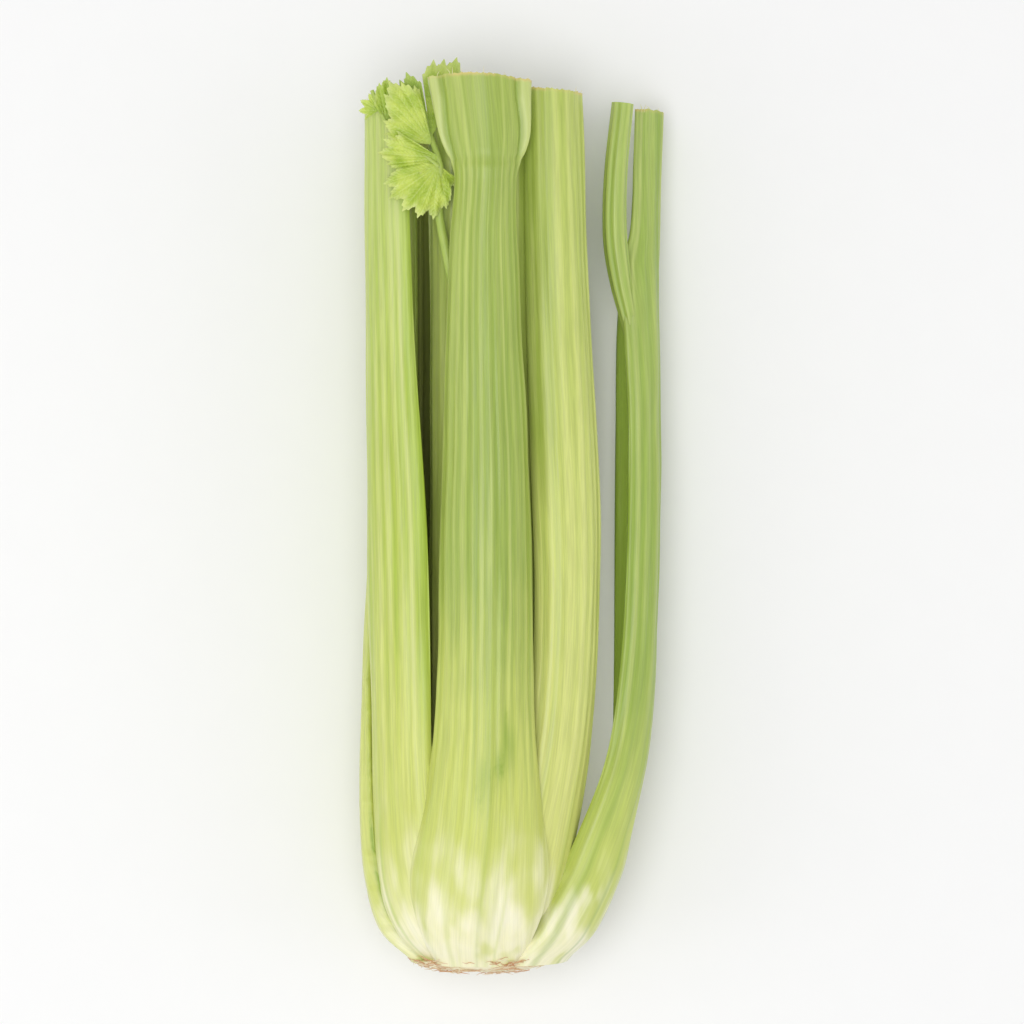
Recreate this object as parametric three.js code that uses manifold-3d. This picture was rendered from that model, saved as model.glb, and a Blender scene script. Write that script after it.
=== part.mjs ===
// A head of celery, cut at the root and trimmed across the tops, lying on its back.
// Millimetres, +Z up. The head lies along Y: its crown, the cut root plate, is at -Y and the
// cut tops are at +Y. The side that faces +Z is the front. The head rests on the plane z = 0.
//
// Every stalk is a run of sections across the head. A section is a crescent: a ribbed back that
// bulges outwards, a smooth channel behind it, and thin edges. Where a section stands is given
// in polar form about the head's axis: an angle, 0 to the right (+X) and 90 to the front (+Z),
// and a radius to the middle of its back. A station is a distance along the head from the
// crown's cut face. Knots are [station, value] pairs, joined by a smooth curve.
import * as THREE from "three";
import { mergeVertices } from "three/addons/utils/BufferGeometryUtils.js";
import Module from "manifold-3d";

const wasm = await Module();
wasm.setup();

// Driving dimensions
const axisX = -11.36; // where the head's axis lies, left of the middle, as one stalk splays to the right
const crownY = -163.6; // the crown's cut face
const flatness = 0.88; // depth of the head over its width
const axisHeight = [[0, 35.2], [60, 35.6], [110, 35.2], [200, 34.2], [320, 33.4]];
const crownRise = 4.4; // station where the outer stalks leave the crown
const innerRise = 9; // and the inner ones
const heartRise = 14; // and the heart
const gap = 0.4; // kept between pieces that grow against each other
const crownSides = 28;
const weldDistance = 1e-3;
const edgeRounding = 0.35; // how squarely a section's two faces meet at its thin edges
const thicknessPower = 2.2; // how suddenly a section thins towards its edges
const tiltReach = 18; // a slanted cut fades in over this last stretch

const stalkGreen = { colour: 0xb4c66a, roughness: 0.45 };
const innerGreen = { colour: 0xc9d68c, roughness: 0.45 };
const darkGreen = { colour: 0x93ad52, roughness: 0.45 };
const leafGreen = { colour: 0xa9c34e, roughness: 0.6 };
const crownCream = { colour: 0xe6d9b4, roughness: 0.8 };

// Stations of the rings of sections
const outerStations = [4.4, 9, 15, 24, 38, 56, 80, 115, 155, 200, 245, 280, 304];
const innerStations = [9, 15, 26, 42, 70, 110, 160, 215, 265];
const heartStations = [14, 24, 45, 90, 140, 200, 260];

// What stalks of one ring share. Radius, bend, half and thick are the back's distance from the
// axis, its radius of curvature, half its width measured round the curve, and its thickness.
// Wider adds to the half width on one side only, on which u is above 0 or below it.
const outerStalk = {
  radius: [
    [4, 24.8], [12, 31.5], [24, 37], [38, 40.5], [60, 42.3], [100, 42.6], [160, 42], [230, 41.2], [320, 40.6],
  ],
  bend: [[4, 24], [38, 30], [60, 24], [100, 18], [160, 16], [230, 13.5], [320, 12.5]],
  half: [[4, 13], [12, 15.5], [38, 18.5], [60, 19], [100, 19], [160, 18.5], [230, 16.5], [320, 15]],
  thick: [[4, 3.8], [24, 5], [60, 7.5], [110, 9], [200, 9], [320, 8]],
  edge: [[4, 1.5], [38, 1.4], [70, 2], [110, 3], [200, 3.4], [320, 3.2]],
  turn: 0,
  widerPlus: 0,
  widerMinus: 0,
  ribs: 9,
  ribHeight: [[4, 0.1], [40, 0.35], [100, 0.65], [320, 0.8]],
  stations: outerStations,
  channelSteps: 8,
  look: stalkGreen,
};
const innerStalk = {
  ...outerStalk,
  radius: [[9, 17.4], [20, 23], [40, 27.6], [70, 29.5], [110, 29.5], [200, 29], [320, 28.5]],
  bend: [[9, 17], [40, 17], [80, 13], [160, 11.5], [320, 10.5]],
  half: [[9, 9], [25, 12.5], [60, 14.5], [160, 14], [320, 12]],
  thick: [[9, 3.4], [30, 5], [80, 7], [200, 7.2], [320, 6.8]],
  edge: [[9, 1.4], [60, 1.8], [110, 2.4], [320, 2.4]],
  ribs: 6,
  stations: innerStations,
  channelSteps: 6,
  look: innerGreen,
};
const heartStalk = {
  ...innerStalk,
  radius: [[14, 10.5], [40, 15], [100, 16], [320, 16.5]],
  bend: [[14, 9], [60, 9], [160, 8], [320, 7.5]],
  half: [[14, 6], [40, 8.5], [160, 9], [320, 8]],
  thick: [[14, 3], [60, 4.6], [320, 4.6]],
  edge: [[14, 1.2], [60, 1.6], [320, 1.8]],
  ribs: 4,
  stations: heartStations,
  channelSteps: 6,
};

// The stalks. Top is the station of the cut, and cut tilts it: how far it climbs for each
// millimetre to the right and to the front.
const stalks = [
  {
    ...outerStalk,
    name: "front_stalk",
    angle: [[4, 97], [38, 91.5], [70, 88.5], [150, 87], [260, 88.5], [290, 87.2], [320, 91]],
    radius: [
      [4, 25.5], [12, 33.2], [24, 39.8], [38, 43], [60, 44.6], [100, 44.6], [160, 43], [230, 42], [320, 41],
    ],
    bend: [
      [4, 25], [12, 31], [24, 38], [38, 38], [60, 29], [100, 20.5], [160, 18], [230, 15], [260, 13.7],
      [285, 12.7], [292, 15.5], [300, 19.5], [320, 23.5],
    ],
    half: [
      [4, 15], [12, 19.5], [24, 24.5], [38, 27.5], [60, 25.5], [100, 22.5], [160, 22.5], [230, 18.6],
      [260, 16.4], [285, 15.3], [292, 17], [300, 19.2], [320, 22],
    ],
    thick: [[4, 3.8], [24, 5], [60, 7.5], [100, 9.5], [160, 9.5], [290, 9], [306, 7.5], [320, 5.5]],
    widerPlus: [[4, -0.3], [60, -0.5], [110, 0]],
    ribs: 12,
    ribHeight: [[4, 0.1], [40, 0.35], [100, 0.6], [240, 0.5], [320, 0.4]],
    stations: [...outerStations.slice(0, 11), 270, 284, 291, 298, 309],
    top: 319.6,
    cut: [-0.03, 0.2],
    wings: [284, 296],
  },
  {
    ...outerStalk,
    name: "left_front_stalk",
    angle: [[4, 141], [38, 146], [60, 147], [100, 146], [160, 146], [260, 149], [320, 150]],
    radius: [
      [4, 22], [12, 30.6], [24, 37.2], [38, 40], [60, 41.2], [100, 43], [160, 44.8], [260, 45.4], [320, 46],
    ],
    bend: [[4, 20], [24, 22], [60, 21.5], [100, 18.6], [160, 16.5], [230, 14], [320, 12.5]],
    half: [[4, 9], [24, 15], [38, 18.5], [60, 20], [100, 20.5], [160, 20.5], [230, 17], [320, 15.5]],
    widerMinus: [[4, -1.5], [12, -2.6], [38, -1.4], [62, -3], [115, -1], [150, 0]],
    ribs: 10,
    top: 311,
    cut: [-0.06, 0],
  },
  {
    ...outerStalk,
    name: "right_front_stalk",
    angle: [[4, 44], [38, 42], [80, 35], [160, 33], [320, 35]],
    radius: [
      [4, 19.6], [12, 25.5], [24, 31.2], [38, 34.6], [60, 38], [100, 42.4], [160, 44], [260, 39.4],
      [320, 37.6],
    ],
    turn: [[4, 0], [40, 3], [90, 12], [320, 16]],
    bend: [[4, 16], [24, 17], [60, 18], [100, 16], [160, 15], [230, 13.5], [320, 12.5]],
    half: [[4, 9], [24, 14.5], [38, 18], [60, 19.5], [100, 19.5], [160, 19.5], [230, 17.5], [320, 16]],
    ribs: 10,
    top: 315,
    cut: [-0.08, 0],
  },
  {
    ...outerStalk,
    name: "left_stalk",
    angle: [[4, 182], [38, 188], [80, 193.4], [145, 198.6], [320, 199.5]],
    radius: [
      [4, 25.4], [12, 34.6], [20, 38.8], [30, 41.4], [40, 42.8], [60, 43.6], [100, 43.2], [160, 41.5],
      [230, 40.5], [320, 40],
    ],
    bend: [[4, 24], [38, 34], [60, 34], [100, 29], [160, 19], [320, 12]],
    half: [[4, 12.5], [24, 17], [38, 18.5], [60, 18.5], [100, 16.5], [160, 16], [320, 13.5]],
    widerMinus: [[4, -1], [12, -2.6], [30, -3.3], [60, -3.6], [90, -2.8], [125, 0]],
    top: 308,
    cut: [0, 0.05],
  },
  {
    ...outerStalk,
    name: "left_back_stalk",
    angle: [[4, 244], [38, 244.4], [80, 245], [160, 246], [320, 246]],
    top: 312,
    cut: [0, -0.05],
  },
  {
    ...outerStalk,
    name: "right_back_stalk",
    angle: [[4, 305], [38, 302], [80, 299], [160, 297], [320, 297]],
    radius: [
      [4, 24.8], [12, 31.5], [24, 37], [38, 40.8], [60, 42.8], [100, 43.3], [160, 42.8], [230, 42.2],
      [320, 41.9],
    ],
    widerMinus: -0.3,
    top: 309,
    cut: [0.05, 0],
  },
  {
    ...outerStalk,
    name: "splayed_stalk",
    angle: [[4, 16], [38, 9], [100, -4], [200, -13], [311, -18]],
    radius: [
      [4, 30], [12, 38.6], [20, 43.2], [30, 47.6], [40, 51.2], [74, 59], [97, 62], [133, 64.2], [194, 66],
      [259, 66.5], [311, 69],
    ],
    turn: [[4, 8], [38, 16], [74, 6], [133, 2], [194, 3], [246, 6], [266, 20], [288, 31], [311, 34]],
    bend: [[4, 24], [22, 22], [38, 19], [74, 14], [133, 12.6], [240, 12], [259, 11], [311, 10]],
    half: [
      [4, 15], [12, 19], [22, 21], [38, 22], [74, 21.5], [133, 21.5], [194, 21], [240, 19], [264, 15.5],
      [285, 14], [311, 13.6],
    ],
    widerPlus: [[190, 0], [228, 3], [252, 5], [266, 1], [280, 0]],
    thick: [[4, 3.8], [24, 6], [60, 8.5], [110, 8.5], [260, 8], [311, 7.5]],
    ribs: 10,
    stations: [4.4, 9, 15, 22, 30, 40, 56, 80, 115, 155, 200, 228, 246, 258, 268, 284],
    top: 310.5,
    cut: [0, 0.12],
    look: darkGreen,
  },
  {
    ...innerStalk,
    name: "inner_stalk_1",
    angle: [[9, 118], [320, 118]],
    radius: [[9, 17.4], [20, 22.5], [40, 25.5], [70, 26], [110, 25.6], [200, 25.6], [260, 26.4], [320, 27.4]],
    top: 303,
    cut: [0, 0.1],
  },
  {
    ...innerStalk,
    name: "inner_stalk_2",
    angle: [[9, 54], [80, 51], [320, 52]],
    radius: [[9, 17], [20, 21.5], [40, 25.6], [70, 27], [180, 26], [230, 24.6], [320, 24.2]],
    top: 300,
    cut: [0.1, 0],
  },
  { ...innerStalk, name: "inner_stalk_3", angle: [[9, -18], [320, -16]], top: 306, cut: [0.1, 0] },
  { ...innerStalk, name: "inner_stalk_4", angle: [[9, 268], [320, 269]], top: 298, cut: [0, 0.1] },
  { ...innerStalk, name: "inner_stalk_5", angle: [[9, 192], [320, 192]], top: 305, cut: [-0.1, 0] },
  { ...heartStalk, name: "heart_stalk_1", angle: [[14, 160], [320, 158]], top: 288, cut: [0, 0] },
  { ...heartStalk, name: "heart_stalk_2", angle: [[14, 25], [320, 28]], top: 282, cut: [0, 0] },
  { ...heartStalk, name: "heart_stalk_3", angle: [[14, 275], [320, 270]], top: 292, cut: [0, 0] },
];

const radians = THREE.MathUtils.degToRad;

// A smooth curve through knots: a cubic between each two, whose slope at a knot is that of the
// line through its neighbours. A plain number is the same at every station.
function curve(knots) {
  if (typeof knots === "number") return () => knots;
  const last = knots.length - 1;
  const slopeAt = (i) => {
    const [s0, v0] = knots[Math.max(i - 1, 0)];
    const [s1, v1] = knots[Math.min(i + 1, last)];
    return (v1 - v0) / (s1 - s0);
  };
  return (s) => {
    if (s <= knots[0][0]) return knots[0][1];
    if (s >= knots[last][0]) return knots[last][1];
    let k = 0;
    while (s > knots[k + 1][0]) k++;
    const [s0, v0] = knots[k];
    const [s1, v1] = knots[k + 1];
    const span = s1 - s0;
    const t = (s - s0) / span;
    const t2 = t * t;
    const t3 = t2 * t;
    return (
      v0 * (2 * t3 - 3 * t2 + 1) +
      v1 * (3 * t2 - 2 * t3) +
      slopeAt(k) * span * (t3 - 2 * t2 + t) +
      slopeAt(k + 1) * span * (t3 - t2)
    );
  };
}

const smoothStep = (x, low, high) => THREE.MathUtils.smoothstep(x, low, high);
const bump = (x, middle, width) => Math.exp(-(((x - middle) / width) ** 2));

const knottedKeys = [
  "angle", "radius", "turn", "bend", "half", "widerPlus", "widerMinus", "thick", "edge", "ribHeight",
];

// A stalk with each of its knotted values turned into a curve.
function withCurves(stalk) {
  const made = { ...stalk };
  for (const key of knottedKeys) made[key] = curve(stalk[key]);
  return made;
}

const heightOfAxis = curve(axisHeight);

// The rods at the flared edges of the front stalk, across it as a share of its half width. They
// widen from the joint to the top.
const rod = { height: 1.7, at: curve([[288, 0.95], [312, 0.86]]), width: curve([[288, 0.05], [312, 0.12]]) };
const groove = { depth: 1.2, at: curve([[288, 0.86], [312, 0.68]]), width: 0.05 };
const fannedFlattens = 0.7; // how much of the ribs' height the flare takes away

// A function from (u, face) to a point of the stalk's section at station s: u runs from -1 to 1
// across the stalk, and face is 1 on the ribbed back and -1 in the channel.
function sectionAt(stalk, s) {
  const angle = radians(stalk.angle(s));
  const radius = stalk.radius(s);
  const out = Math.atan2(Math.sin(angle) / flatness, Math.cos(angle)) + radians(stalk.turn(s));
  const bend = stalk.bend(s);
  const [apexX, apexZ] = [
    axisX + radius * Math.cos(angle),
    heightOfAxis(s) + flatness * radius * Math.sin(angle),
  ];
  const fanned = stalk.wings ? smoothStep(s, ...stalk.wings) : 0;
  return (u, face) => {
    const reach = stalk.half(s) + (u > 0 ? stalk.widerPlus(s) : stalk.widerMinus(s));
    const bow = (u * reach) / bend;
    const across = bend * Math.sin(bow);
    const inwards = bend * (1 - Math.cos(bow));
    const normal = [Math.cos(out + bow), Math.sin(out + bow)];
    const full = stalk.edge(s) + (stalk.thick(s) - stalk.edge(s)) * (1 - Math.abs(u) ** thicknessPower);
    const open = Math.sqrt(Math.max(0, 1 - u * u)) ** edgeRounding;
    let rise = (-full * (1 - face * open)) / 2;
    if (face > 0) {
      const rib = 0.5 - 0.5 * Math.cos(Math.PI * stalk.ribs * (u + 1));
      rise += stalk.ribHeight(s) * rib * (1 - fannedFlattens * fanned) * (Math.abs(u) < 1 ? 1 : 0);
      // Above the joint the edges run out as two rods, with a groove beside each.
      const rods = rod.height * bump(Math.abs(u), rod.at(s), rod.width(s));
      const grooves = groove.depth * bump(Math.abs(u), groove.at(s), groove.width);
      rise += fanned * (rods - grooves);
    }
    return [
      apexX - Math.sin(out) * across - Math.cos(out) * inwards + normal[0] * rise,
      Math.max(0, apexZ + Math.cos(out) * across - Math.sin(out) * inwards + normal[1] * rise),
    ];
  };
}

// The closed outline of a section: over the back from edge to edge, then back through the channel.
function sectionRing(stalk, s) {
  const at = sectionAt(stalk, s);
  const steps = 2 * stalk.ribs;
  const ring = [];
  for (let j = 0; j <= steps; j++) ring.push(at(-1 + (2 * j) / steps, 1));
  for (let j = 1; j < stalk.channelSteps; j++)
    ring.push(at(Math.cos((Math.PI * j) / stalk.channelSteps), -1));
  const [middleX, middleZ] = at(0, 1);
  const [slopeX, slopeZ] = stalk.cut;
  const tilted = smoothStep(s, stalk.top - tiltReach, stalk.top);
  return ring.map(([x, z]) => [
    x,
    crownY + s + tilted * (slopeX * (x - middleX) + slopeZ * (z - middleZ)),
    z,
  ]);
}

// A closed geometry through rings of points that all have the same count, capped at both ends.
// The rings' points run anticlockwise as seen from before the first ring.
function loft(rings) {
  const count = rings[0].length;
  const indices = [];
  for (let k = 0; k + 1 < rings.length; k++)
    for (let i = 0; i < count; i++) {
      const j = (i + 1) % count;
      const [a, b, c, d] = [k * count + i, (k + 1) * count + i, k * count + j, (k + 1) * count + j];
      indices.push(a, b, c, c, b, d);
    }
  capFaces(rings[0]).forEach(([a, b, c]) => indices.push(a, b, c));
  const start = (rings.length - 1) * count;
  capFaces(rings.at(-1)).forEach(([a, b, c]) => indices.push(start + c, start + b, start + a));
  return new THREE.BufferGeometry()
    .setAttribute("position", new THREE.Float32BufferAttribute(rings.flat(2), 3))
    .setIndex(indices);
}

// Triangles that fill a ring, in the ring's own order, found in the plane that it lies in.
function capFaces(ring) {
  const points = ring.map((p) => new THREE.Vector3(...p));
  const middle = points.reduce((sum, p) => sum.add(p), new THREE.Vector3()).divideScalar(points.length);
  const normal = new THREE.Vector3();
  points.forEach((p, i) =>
    normal.add(p.clone().sub(middle).cross(points[(i + 1) % points.length].clone().sub(middle))),
  );
  const turn = new THREE.Quaternion().setFromUnitVectors(normal.normalize(), new THREE.Vector3(0, 0, 1));
  const flat = points.map((p) => p.clone().sub(middle).applyQuaternion(turn));
  return THREE.ShapeUtils.triangulateShape(flat.map((p) => new THREE.Vector2(p.x, p.y)), []);
}

// A geometry as a solid for joining and cutting, and back.
function toSolid(geometry) {
  const bare = geometry.clone();
  bare.deleteAttribute("normal");
  bare.deleteAttribute("uv");
  const merged = mergeVertices(bare, weldDistance);
  return new wasm.Manifold(
    new wasm.Mesh({
      numProp: 3,
      vertProperties: merged.attributes.position.array,
      triVerts: new Uint32Array(merged.index.array),
    }),
  );
}

function toGeometry(solid) {
  const mesh = solid.getMesh();
  return new THREE.BufferGeometry()
    .setAttribute("position", new THREE.BufferAttribute(new Float32Array(mesh.vertProperties), 3))
    .setIndex(new THREE.BufferAttribute(new Uint32Array(mesh.triVerts), 1));
}

const joined = (geometries) =>
  toGeometry(geometries.map(toSolid).reduce((all, solid) => all.add(solid)));

// A point from its place across (right of the axis), its station along, and its height.
const place = ([across, along, height]) => new THREE.Vector3(axisX + across, crownY + along, height);

// A round rod that tapers along a smooth path through points.
function taperedRod(points, radii, sides, steps) {
  const path = new THREE.CatmullRomCurve3(points);
  const radius = curve(radii.map((r, i) => [i / (radii.length - 1), r]));
  const frames = path.computeFrenetFrames(steps, false);
  const rings = [];
  for (let k = 0; k <= steps; k++) {
    const centre = path.getPointAt(k / steps);
    const ring = [];
    for (let i = 0; i < sides; i++) {
      const a = (-2 * Math.PI * i) / sides;
      ring.push(
        centre
          .clone()
          .addScaledVector(frames.normals[k], radius(k / steps) * Math.cos(a))
          .addScaledVector(frames.binormals[k], radius(k / steps) * Math.sin(a))
          .toArray(),
      );
    }
    rings.push(ring);
  }
  return loft(rings);
}

// The crown: a low dome whose foot is the cut face, with a step for each ring of stalks.
function crownGeometry() {
  const profile = [
    [0, 0],
    [11, 0.2],
    [18, 1.0],
    [23.2, 2.4],
    [25.4, crownRise - gap],
    [15.2, crownRise - gap],
    [14.8, innerRise - gap],
    [8.6, innerRise - gap],
    [7, heartRise - gap],
    [0, heartRise - gap],
  ].map(([r, s]) => new THREE.Vector2(r, s));
  const lathe = new THREE.LatheGeometry(profile, crownSides);
  lathe.scale(1, 1, flatness);
  lathe.translate(axisX, crownY, heightOfAxis(0));
  return lathe;
}

// The fork of the splayed stalk: a side branch that leaves its front edge and runs up beside it.
const branch = {
  path: [
    [55.5, 220, 29.5], [53.2, 234, 30.6], [50.2, 248, 32], [48.1, 264, 33.4], [48.3, 286, 35],
    [50.8, 312, 35.6],
  ],
  radii: [1.6, 3.2, 4.1, 4.1, 3.9, 3.7],
  sides: 10,
  steps: 10,
};

function splayedGeometry(stalk) {
  const rings = [...stalk.stations, stalk.top].map((s) => sectionRing(stalk, s));
  return joined([loft(rings), taperedRod(branch.path.map(place), branch.radii, branch.sides, branch.steps)]);
}

// How blades are cut: a lobe falls back on both sides of its tip by this slope
const tipSlope = 1.45;
const lobePower = 1.15; // above 1, so that a tip isn't quite a corner
const leastReach = 0.4; // of the longest lobe: notches go no deeper
const bladeThickness = 0.9;
const bladeShares = [0.04, 0.4, 0.72, 1]; // where rows of points stand between the foot and the margin
const bladeStep = radians(3.2); // between directions

// The lobes of a leaflet in polar form about its foot, and how far its blade reaches in a direction:
// the furthest lobe counts.
function leafletLobes(tips, [footAcross, footAlong]) {
  const lobes = tips.map(([across, along]) => {
    const [dx, dy] = [across - footAcross, along - footAlong];
    return { length: Math.hypot(dx, dy), direction: (Math.atan2(dy, dx) + 2 * Math.PI) % (2 * Math.PI) };
  });
  const longest = Math.max(...lobes.map((lobe) => lobe.length));
  const reach = (theta) =>
    Math.max(
      leastReach * longest,
      ...lobes.map(
        ({ length, direction }) => length * (1 - tipSlope * Math.abs(theta - direction) ** lobePower),
      ),
    );
  return { lobes, longest, reach };
}

// The directions in which a blade has points: even steps, with the nearest one moved to each tip.
function leafletDirections(lobes, [first, last]) {
  const count = Math.round((last - first) / bladeStep);
  const directions = Array.from({ length: count + 1 }, (_, j) => first + ((last - first) * j) / count);
  for (const { direction } of lobes) {
    const nearest = Math.round(((direction - first) / (last - first)) * count);
    if (nearest > 0 && nearest < count) directions[nearest] = direction;
  }
  return directions;
}

// A leaflet: a fan of lobes about its foot, leaning and cupped, as a blade of even thickness.
// Sides are the directions of its two side edges in degrees, and lean is the slope in both ways.
function leafletGeometry({ foot, sides, lean, cup, tips }) {
  const { lobes, longest, reach } = leafletLobes(tips, foot);
  const directions = leafletDirections(lobes, sides.map(radians));
  const columns = directions.length;
  const positions = [];
  for (const face of [1, -1])
    for (const share of bladeShares)
      for (const theta of directions) {
        const r = share * reach(theta);
        const [dx, dy] = [r * Math.cos(theta), r * Math.sin(theta)];
        const lift = lean[0] * dx + lean[1] * dy + (cup * r * r) / longest + (face * bladeThickness) / 2;
        positions.push(...place([foot[0] + dx, foot[1] + dy, foot[2] + lift]).toArray());
      }
  const rows = bladeShares.length;
  const at = (row, j, face) => (face > 0 ? 0 : rows * columns) + row * columns + j;
  const indices = [];
  const face = (a, b, c, side) => indices.push(at(...a, side), at(...b, side), at(...c, side));
  const bothFaces = (a, b, c) => {
    face(a, b, c, 1);
    face(c, b, a, -1);
  };
  for (let row = 0; row + 1 < rows; row++)
    for (let j = 0; j + 1 < columns; j++) {
      bothFaces([row, j], [row + 1, j], [row, j + 1]);
      bothFaces([row, j + 1], [row + 1, j], [row + 1, j + 1]);
    }
  const rim = [];
  for (let j = 0; j < columns; j++) rim.push([0, j]);
  for (let row = 1; row < rows; row++) rim.push([row, columns - 1]);
  for (let j = columns - 2; j >= 0; j--) rim.push([rows - 1, j]);
  for (let row = rows - 2; row > 0; row--) rim.push([row, 0]);
  rim.forEach((p, i) => {
    const next = rim[(i + 1) % rim.length];
    indices.push(at(...p, 1), at(...next, 1), at(...p, -1), at(...next, 1), at(...next, -1), at(...p, -1));
  });
  return new THREE.BufferGeometry()
    .setAttribute("position", new THREE.Float32BufferAttribute(positions, 3))
    .setIndex(indices);
}

const group = new THREE.Group();

function addPiece(name, geometry, { colour, roughness }) {
  const material = new THREE.MeshStandardMaterial({ color: colour, roughness, metalness: 0 });
  const mesh = new THREE.Mesh(geometry, material);
  mesh.name = name;
  group.add(mesh);
}

addPiece("crown", toGeometry(toSolid(crownGeometry())), crownCream);

for (const stalk of stalks.map(withCurves)) {
  const geometry =
    stalk.name === "splayed_stalk"
      ? splayedGeometry(stalk)
      : loft([...stalk.stations, stalk.top].map((s) => sectionRing(stalk, s)));
  addPiece(stalk.name, geometry, stalk.look);
}

// The spray of leaves: a thin stem that rises through the head, a twig, and leaflets.
const spray = {
  name: "front_leaf_spray",
  stem: [[-9.5, 242, 57.8], [-12.6, 258, 57.9], [-15, 272, 57.8], [-14.6, 287, 60.8], [-18.2, 299, 58.2]],
  stemRadii: [1.5, 1.7, 1.6, 1.4, 0.9],
  twig: [[-15, 287, 61.8], [-24, 294.4, 61.8], [-33, 302, 62], [-38.6, 314, 62]],
  twigRadii: [1, 0.8, 0.7],
  sides: 7,
  stemSteps: 10,
  twigSteps: 6,
  leaflets: [
    {
      foot: [-14.8, 287.5, 61.8], sides: [172, 325], lean: [-0.3, -0.1], cup: -0.2,
      tips: [
        [-32.5, 286], [-34.6, 280.5], [-32.6, 275.4], [-28, 271], [-22.6, 268.6], [-17, 268.2], [-12.2, 272],
        [-9.4, 280],
      ],
    },
    {
      foot: [-14.4, 290.2, 61.4], sides: [148, 222], lean: [-0.25, 0.05], cup: -0.08,
      tips: [[-30, 299.5], [-34.6, 296.4], [-36.6, 291.6], [-33.4, 287.6], [-28, 283.6], [-21.6, 282.4]],
    },
    {
      foot: [-17.2, 295, 59.6], sides: [103, 176], lean: [-0.3, 0.15], cup: -0.02,
      tips: [
        [-34, 298.6], [-34.6, 303], [-33.2, 307.6], [-34.4, 312.4], [-32.8, 317.2], [-28.2, 316.8],
        [-23.6, 315.8], [-21.2, 312.4],
      ],
    },
    {
      foot: [-17.6, 297, 58.8], sides: [100, 128], lean: [-0.15, 0.08], cup: -0.08,
      tips: [[-29, 318.2], [-26.6, 320.9], [-23.8, 319]],
    },
    {
      foot: [-17.8, 297.4, 58.4], sides: [62, 98], lean: [0, -0.3], cup: -0.04,
      tips: [[-19.2, 322], [-17, 326.4], [-13.2, 326.8], [-8.6, 327.2], [-8.8, 321.5]],
    },
    {
      foot: [-33.2, 302.4, 62], sides: [70, 126], lean: [-0.15, 0.1], cup: 0.05,
      tips: [[-37.6, 310.4], [-36, 316.6], [-33.2, 318.6], [-30, 316.4], [-28.6, 310.5]],
    },
    {
      foot: [-36, 307, 62], sides: [84, 214], lean: [-0.1, 0.1], cup: -0.15,
      tips: [[-35.8, 313], [-39.8, 313], [-42.8, 310.6], [-43.4, 306.8], [-41.4, 303.2]],
    },
  ],
};
addPiece(
  spray.name,
  joined([
    taperedRod(spray.stem.map(place), spray.stemRadii, spray.sides, spray.stemSteps),
    taperedRod(spray.twig.map(place), spray.twigRadii, spray.sides, spray.twigSteps),
    ...spray.leaflets.map(leafletGeometry),
  ]),
  leafGreen,
);

export default group;
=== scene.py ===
import math
import bpy
import numpy as np
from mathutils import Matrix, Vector


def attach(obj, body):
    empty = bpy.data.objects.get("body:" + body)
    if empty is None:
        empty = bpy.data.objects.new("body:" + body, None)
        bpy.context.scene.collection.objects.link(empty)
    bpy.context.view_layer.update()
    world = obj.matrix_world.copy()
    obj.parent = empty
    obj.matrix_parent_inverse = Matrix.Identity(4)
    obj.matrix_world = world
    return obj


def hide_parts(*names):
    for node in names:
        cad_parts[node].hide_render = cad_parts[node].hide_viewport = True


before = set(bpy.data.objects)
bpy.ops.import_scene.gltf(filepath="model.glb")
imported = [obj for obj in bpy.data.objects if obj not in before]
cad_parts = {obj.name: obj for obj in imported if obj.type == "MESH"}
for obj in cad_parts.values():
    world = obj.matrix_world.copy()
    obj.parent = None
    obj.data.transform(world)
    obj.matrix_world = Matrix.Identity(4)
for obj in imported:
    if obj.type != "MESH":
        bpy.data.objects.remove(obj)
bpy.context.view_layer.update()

# A head of celery that lies on its back: ribbed stalks round a cut crown, and a spray of leaves.
# All shapes are worked out in millimetres. A station is a distance from the crown's cut face.
millimetre = 0.001

head = {
    "axisX": -11.36,
    "crownY": -163.6,
    "flatness": 0.88,  # depth over width
    "axisHeight": [[0, 35.2], [60, 35.6], [110, 35.2], [200, 34.2], [320, 33.4]],
    "edgeRounding": 0.35,
    "thicknessPower": 2.2,
    "tiltReach": 18,  # a slanted cut fades in over this last stretch
    "topAxisHeight": 34,
    "endHollow": 0.35,
    "endShares": [0.03, 0.25, 0.5, 0.75, 0.97],  # rows of an end face, from the back to the channel
}


def smoothStep(x, low, high):
    t = np.clip((x - low) / (high - low), 0, 1)
    return t * t * (3 - 2 * t)


def bump(x, middle, width):
    return np.exp(-(((x - middle) / width) ** 2))


def knotCurve(knots, s):
    # smooth curve through [station, value] knots: a cubic between each two, and the slope at a
    # knot is that of the line through its two neighbours
    s = np.asarray(s, float)
    if np.isscalar(knots):
        return np.full(s.shape, float(knots))
    at, value = np.array(knots, float).T
    before = np.r_[0, np.arange(len(at) - 1)]
    after = np.r_[np.arange(1, len(at)), len(at) - 1]
    slope = (value[after] - value[before]) / (at[after] - at[before])
    s = np.clip(s, at[0], at[-1])
    k = np.clip(np.searchsorted(at, s, side="right") - 1, 0, len(at) - 2)
    span = at[k + 1] - at[k]
    t = (s - at[k]) / span
    return (
        value[k] * (2 * t**3 - 3 * t**2 + 1)
        + value[k + 1] * (3 * t**2 - 2 * t**3)
        + slope[k] * span * (t**3 - 2 * t**2 + t)
        + slope[k + 1] * span * (t**3 - t**2)
    )


def softNoise(x, y, seed, waves=7):
    # a few sine waves of drawn directions and phases, added up: about -1 to 1, period about 1
    rng = np.random.default_rng(seed)
    total = np.zeros(np.broadcast(x, y).shape)
    for _ in range(waves):
        turnX, turnY = rng.normal(0, 1, 2)
        total = total + np.sin(2 * np.pi * (x * turnX + y * turnY) + rng.uniform(0, 2 * np.pi))
    return total / waves**0.5 / 1.4


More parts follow.
